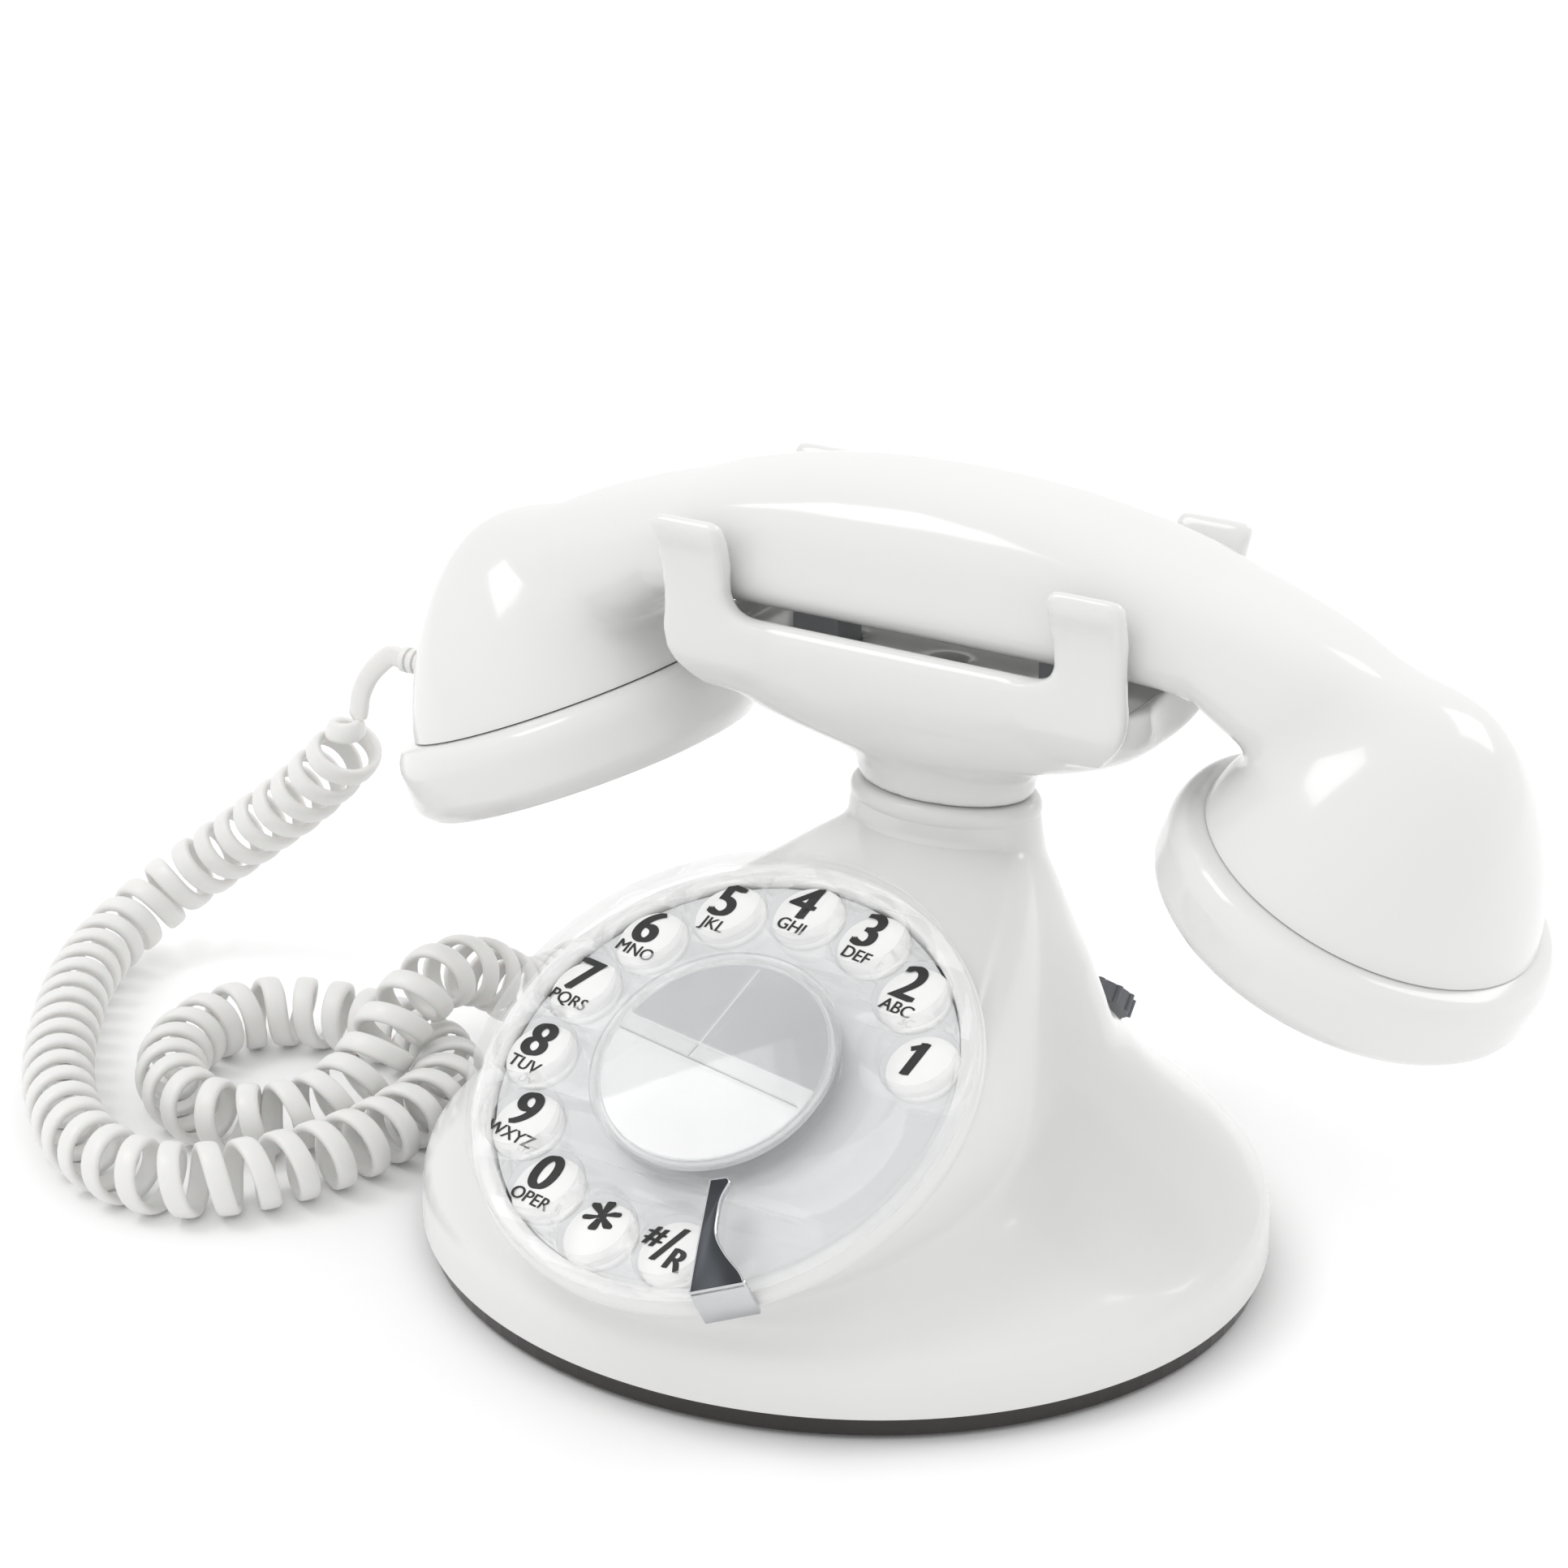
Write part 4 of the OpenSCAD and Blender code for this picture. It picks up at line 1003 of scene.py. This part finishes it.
@dataclass
class Cradle:
    """The saddle with four flared prongs.

    Attributes:
        middle_y: distance behind the origin.
        floor: height of the trough's floor.
        trough: half width, inner end, and height of the lower end walls.
        scoop: half width, half depth and distance of the ovals that hollow the two ends.
        tip: height of the prongs.
        prong: inner and outer distance of a prong from the middle.
        voxel: grain of the remesh that melts the parts together.
        softening: how many times the melted form is smoothed.
        sections: height, half width, half depth and squareness of the body's sections.
    """

    middle_y: float = 38.0
    floor: float = 93.5
    trough: tuple[float, float, float] = (17.9, 41.0, 97.5)
    scoop: tuple[float, float, float] = (32.1, 34.8, 74.8)
    tip: float = 119.6
    prong: tuple[float, float] = (31.0, 44.2)
    voxel: float = 0.62
    softening: int = 18
    sections: tuple = (
        (71, 16.6, 11, 2), (74, 16.5, 10.9, 2), (77, 18.6, 12.1, 2.1), (79.3, 23.2, 14, 2.3),
        (81.3, 29.5, 16, 2.5), (83.3, 35, 17.6, 2.8), (85.8, 39.5, 19.2, 3.2), (89, 42.8, 20.8, 3.8),
        (93.5, 44.9, 21.7, 4.6), (97, 45.3, 22, 5), (99, 45.4, 22, 5), (100.4, 45.1, 21.6, 5),
        (101.4, 44.3, 20.8, 5), (102, 43.2, 19.4, 5))

    def _beam(self) -> bmesh.types.BMesh:
        """The saddle's body, from the collar to its rim."""
        columns = [Smooth([(s[0], s[k]) for s in self.sections]) for k in (1, 2, 3)]
        rings = []
        for z in np.linspace(self.sections[0][0], self.sections[-1][0], 64):
            half_x, half_y, power = (column(z) for column in columns)
            rings.append(level_ring((half_x, half_y), 0, z, 160, power))
        return skin(rings)

    def _prong(self) -> bmesh.types.BMesh:
        """One prong, growing out of the wall with a fillet on each side and flared at its tip."""
        inner, outer = self.prong
        outline = rounded([(inner - 4, 87.0, 0), (inner - 8, 101.0, 2), (inner + 0.4, 102.6, 8),
                           (inner - 0.6, self.tip, 2.4), (outer + 0.8, self.tip, 2.4),
                           (outer - 0.4, 108, 5), (outer, 94.0, 4), (outer - 6, 87.0, 0)], 6)
        bm, _ = pushed([(x, 0, z) for x, z in outline], (0, 1, 0))
        for z in np.arange(88, self.tip, 1.0):
            bmesh.ops.bisect_plane(bm, geom=bm.verts[:] + bm.edges[:] + bm.faces[:], plane_co=(0, 0, z),
                                   plane_no=(0, 0, 1))
        near = Smooth([(87, 16.0), (93, 18.0), (104, 18.1), (110, 18.7), (115, 20.2), (118, 21.8),
                       (119, 22.8)])
        far = Smooth([(87, 17.5), (90, 20.3), (94, 22.0), (103, 22.3), (108, 22.7), (113, 23.6),
                      (116.5, 24.8), (118, 25), (119, 24.2)])
        for vert in bm.verts:
            share = vert.co.y
            vert.co.y = float(near(vert.co.z) * (1 - share) + far(vert.co.z) * share)
        return bm

    def _melt(self, made: bpy.types.Object) -> None:
        """Remeshes the moulding in even grains."""
        melted = made.modifiers.new("melt", "REMESH")
        melted.mode = "VOXEL"
        melted.voxel_size = self.voxel * MM
        bake_modifiers(made)

    def _cuts(self) -> list[bmesh.types.BMesh]:
        """What is cut from the moulding: trough, neck bores, spring room, plunger slots and end scoops."""
        y, (half, end, ledge) = self.middle_y, self.trough
        cuts = [box((-end, y - half, self.floor), (end, y + half, 130)),
                box((-60, y - half, ledge), (60, y + half, 130)),
                turned(cylinder(5.05, 60, 84, 48), Matrix.Translation((0, y, 0))),
                turned(cylinder(2.9, 70, 95, 48), Matrix.Translation((0, y, 0))),
                box((-34, y - 14, 86.3), (34, y + 14, 91.3))]
        for side in (-1, 1):
            cuts.append(box((side * 24 - 4.8, y - 4.3, 88), (side * 24 + 4.8, y + 4.3, 98)))
            half_x, half_y, away = self.scoop
            scoop = cylinder(1, 60, 130, 128)
            bmesh.ops.scale(scoop, vec=(half_x, half_y, 1), verts=scoop.verts)
            cuts.append(turned(scoop, Matrix.Translation((side * away, y, 0))))
        return cuts

    def build(self) -> None:
        """Joins the beam and prongs, melts them into one moulding, and cuts the trough."""
        parts = [self._beam()]
        for sx in (-1, 1):
            for sy in (-1, 1):
                one = turned(self._prong(), Matrix.Diagonal((sx, sy, 1, 1)))
                bmesh.ops.recalc_face_normals(one, faces=one.faces)
                parts.append(one)
        whole = turned(joined(parts), Matrix.Translation((0, self.middle_y, 0)))
        made = finish_piece("cradle_moulding", whole, [WHITE_ABS], None)
        self._melt(made)
        carve(made, self._cuts())
        self._melt(made)
        bm = bmesh.new()
        bm.from_mesh(made.data)
        for _ in range(self.softening):
            bmesh.ops.smooth_vert(bm, verts=bm.verts, factor=0.5, use_axis_x=True, use_axis_y=True,
                                  use_axis_z=True)
        for face in bm.faces:
            face.smooth = True
        bm.to_mesh(made.data)
        bm.free()
        settle(made, Placing("base", "white_plastic", ("cradle",)))
        log.info("cradle: %d faces", len(made.data.polygons))


# ---------------------------------------------------------------- handset


@dataclass
class Handset:
    """The handset's one-piece shell and its two screwed-on caps.

    Attributes:
        middle_y: distance behind the origin.
        seam: distance from the middle and height of a dome's seam centre.
        tilt_deg: how far each dome leans outwards.
        dome: radius and height of a dome.
        cap: radius and thickness of a cap.
        wall: thickness of the moulding.
        crease: width of the fillet where the handle meets a dome.
        pivot: the rings of a dome fan out from this far inside its seam, and from this far at the handle.
        crown: height of the handle's upper edge at each distance from the middle.
        under: height of its lower edge.
        half: half of its depth from front to back.
    """

    middle_y: float = 38.0
    seam: tuple[float, float] = (79.5, 73.0)
    tilt_deg: float = 23.0
    dome: tuple[float, float] = (29.4, 33.6)
    cap: tuple[float, float] = (33.8, 15.0)
    wall: float = 2.2
    crease: float = 5.0
    pivot: tuple[float, float] = (33.0, 23.5)
    crown: Smooth = field(default_factory=lambda: Smooth([
        (-1, 127.0), (0, 127), (15, 126.4), (30, 124.4), (43, 121.4), (51, 118.7), (62, 115.4), (76, 110.0),
        (88, 102.0), (100, 90)]))
    under: Smooth = field(default_factory=lambda: Smooth([
        (-1, 101.2), (0, 101.2), (40, 101.2), (46, 100.4), (51, 98.3), (58, 93.4), (66, 88), (88, 80),
        (100, 74)]))
    half: Smooth = field(default_factory=lambda: Smooth([
        (-1, 17.4), (0, 17.4), (15, 17.4), (30, 17.2), (43, 16.9), (51, 16.5), (58, 16.2), (66, 15.6),
        (76, 13), (88, 8), (100, 3)]))

    @property
    def axis(self) -> np.ndarray:
        """The right dome's upward axis."""
        tilt = math.radians(self.tilt_deg)
        return np.array((math.sin(tilt), 0, math.cos(tilt)))

    def form(self, p: np.ndarray) -> np.ndarray:
        """Distance from the right half of the shell, about the handset's middle plane."""
        x = np.abs(p[:, 0])
        top, low, half = self.crown(x), self.under(x), self.half(x)
        tall = (top - low) / 2
        up = (p[:, 2] - (top + low) / 2) / tall
        power = np.where(up < 0, 2.5 + 2.0 * np.clip(-up * 4, 0, 1) * np.clip((52 - x) / 10, 0, 1), 2.5)
        oval = (np.abs(p[:, 1] / half) ** power + np.abs(up) ** power) ** (1 / power)
        bar = np.maximum((oval - 1) * np.minimum(half, tall), x - 98)
        rel = p - np.array((self.seam[0], 0, self.seam[1]))
        t = rel @ self.axis
        out = np.linalg.norm(rel - np.outer(t, self.axis), axis=1)
        share = (out / self.dome[0]) ** 2 + np.clip(t / self.dome[1], 0, None) ** 1.25
        bulb = (share ** 0.58 - 1) * self.dome[0]
        return melt(bar, bulb, self.crease)

    def _half(self, inset: float) -> list[np.ndarray]:
        """Rings of the right half, from the seam round into the handle and on to the middle."""
        tilt = math.radians(self.tilt_deg)
        slope = np.array((math.cos(tilt), 0, -math.sin(tilt)))
        first, last = self.pivot
        pivot = np.array((self.seam[0], 0, self.seam[1])) - first * slope
        angle = angles(128)
        rings = []
        for share in np.linspace(0, 1, 46):
            turn = -tilt + share * (math.pi / 2 + tilt)
            out = np.array((math.cos(turn), 0, math.sin(turn)))
            away = first + (last - first) * share
            start = np.tile(pivot + out * away, (len(angle), 1))
            way = np.outer(np.cos(angle), out) + np.outer(np.sin(angle), (0, 1, 0))
            back = np.maximum(-np.cos(angle), 0.05)
            reach = np.where(back > 0.05, np.minimum(0.97 * away / back, 50), 50.0)
            rings.append(surface_along(self.form, start, way, reach, -inset))
        for x in np.linspace(pivot[0], 0, 30)[1:]:
            start = np.tile((x, 0, (self.crown(x) + self.under(x)) / 2), (len(angle), 1))
            way = np.outer(np.cos(angle), (0, 0, 1)) + np.outer(np.sin(angle), (0, 1, 0))
            rings.append(surface_along(self.form, start, way, 40.0, -inset))
        return rings

    def _shell(self) -> None:
        """The shell: its outside, its inside, and a flat lip at each seam."""
        outer, inner = self._half(0.0), self._half(self.wall)
        flip = np.array((-1, 1, 1))
        outside = outer + [ring * flip for ring in outer[-2::-1]]
        inside = inner + [ring * flip for ring in inner[-2::-1]]
        loop = outside + inside[::-1]
        bm = skin(loop, closed_ends=False)
        bmesh.ops.bridge_loops(bm, edges=[e for e in bm.edges if e.is_boundary])
        bmesh.ops.translate(bm, vec=(0, self.middle_y, 0), verts=bm.verts)
        made = finish_piece("handset_shell_smooth", bm, [WHITE_ABS], None, 30)
        hole = turned(cylinder(1.95, -12, 12, 32),
                      Matrix.Translation((-106, self.middle_y, 71)) @ Matrix.Rotation(math.pi / 2, 4, "Y"))
        carve(made, [hole])
        settle(made, Placing("handset", "white_plastic", ("handset_shell",)))

    def _cap(self, side: int, name: str, node: str) -> None:
        """One cap: a thick rounded ring with a flat grille.

        Args:
            side: 1 for the right end, -1 for the left.
            name: name of the piece.
            node: the CAD node it stands for.
        """
        radius, tall = self.cap
        profile = rounded([(0, -tall + 0.6, 0), (23.5, -tall + 0.4, 1), (25.5, -tall, 1),
                           (radius - 3, -tall, 1.2), (radius - 0.3, -tall + 2.8, 1.4), (radius, -4.2, 2),
                           (radius - 1.2, -1.2, 1.6),
                           (radius - 4.2, -0.2, 1.4), (25.2, -0.2, 0.2), (25.2, 2.4, 0.3), (23.4, 2.4, 0.3),
                           (23.4, -tall + 3, 0.3), (0, -tall + 3, 0)], 6)
        holes = [cylinder(1.1, -tall - 2, -tall + 5, 20)]
        for ring in (4, 8):
            for a in angles(int(ring * 1.5)):
                one = cylinder(1.1, -tall - 2, -tall + 5, 20)
                holes.append(turned(one, Matrix.Translation((ring * math.cos(a), ring * math.sin(a), 0))))
        place = (Matrix.Translation((side * self.seam[0], self.middle_y, self.seam[1]))
                 @ Matrix.Rotation(math.radians(side * self.tilt_deg), 4, "Y"))
        made = finish_piece(name, turned(spun(profile, 160), place), [WHITE_ABS], None, 30)
        carve(made, [turned(joined(holes), place)])
        settle(made, Placing("handset", "white_plastic", (node,)))

    def build(self) -> None:
        """Makes the shell and both caps."""
        self._shell()
        self._cap(-1, "mouth_cap_smooth", "mouth_cap")
        self._cap(1, "ear_cap_smooth", "ear_cap")
        log.info("handset: shell and caps")


# ---------------------------------------------------------------- studio


@dataclass
class Studio:
    """The camera, a pale floor and soft lights.

    Attributes:
        eye: place of the camera, in metres.
        turn_deg: the camera's turn about X and Z.
        lens_mm: focal length on a 36 mm sensor.
    """

    eye: tuple[float, float, float] = (0.30157, -0.50318, 0.32398)
    turn_deg: tuple[float, float] = (67.750, 31.713)
    lens_mm: float = 89.063

    def camera(self) -> None:
        """Makes the camera and gives it to the scene."""
        data = bpy.data.cameras.new("camera")
        data.lens = self.lens_mm
        data.sensor_width = 36.0
        data.clip_start, data.clip_end = 0.01, 20.0
        made = bpy.data.objects.new("camera", data)
        made.location = self.eye
        made.rotation_euler = (math.radians(self.turn_deg[0]), 0, math.radians(self.turn_deg[1]))
        bpy.context.scene.collection.objects.link(made)
        bpy.context.scene.camera = made

    def _area(self, name: str, place: Sequence[float], size: float, power: float) -> None:
        """A square soft light aimed at the object's middle."""
        data = bpy.data.lights.new(name, "AREA")
        data.size = size
        data.energy = power
        made = bpy.data.objects.new(name, data)
        made.location = place
        aim = Vector((0, 0, 0.05)) - Vector(place)
        made.rotation_euler = aim.to_track_quat("-Z", "Y").to_euler()
        bpy.context.scene.collection.objects.link(made)

    def lights(self) -> None:
        """A bright even room, a key from the upper left and an equal light from behind on the right."""
        world = bpy.data.worlds.new("studio")
        world.use_nodes = True
        back = world.node_tree.nodes["Background"]
        back.inputs["Color"].default_value = (1, 1, 1, 1)
        back.inputs["Strength"].default_value = 1.0
        bpy.context.scene.world = world
        self._area("key", (-0.55, -0.35, 1.0), 0.45, 2.2)
        self._area("rim", (0.5, 0.7, 0.8), 0.5, 2.2)
        bpy.context.scene.view_settings.view_transform = "Standard"

    def floor(self) -> None:
        """A plain pale floor, which isn't part of the object."""
        bm = bmesh.new()
        bmesh.ops.create_grid(bm, x_segments=1, y_segments=1, size=4000)
        paper = Finish("seamless paper white", "#fbfbfb", "#fafafa", 0.7, 0.05, 400, 40, 0.01)
        finish_piece("floor", bm, [paper], None)


def dress_frame() -> None:
    """Gives every CAD node that still shows its own finish."""
    for finish, names in CAD_FINISHES.items():
        for name in names:
            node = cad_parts[name]
            node.data.materials.clear()
            node.data.materials.append(finish.material())


def main() -> None:
    """Builds the telephone and its studio."""
    logging.basicConfig(level=logging.INFO, format="%(name)s %(message)s")
    studio = Studio()
    studio.camera()
    CurlyCord().build()
    dress_frame()
    dial = Dial()
    Base(dial).build()
    Cradle().build()
    Handset().build()
    dial.build()
    studio.floor()
    studio.lights()


if __name__ == "__main__":
    main()
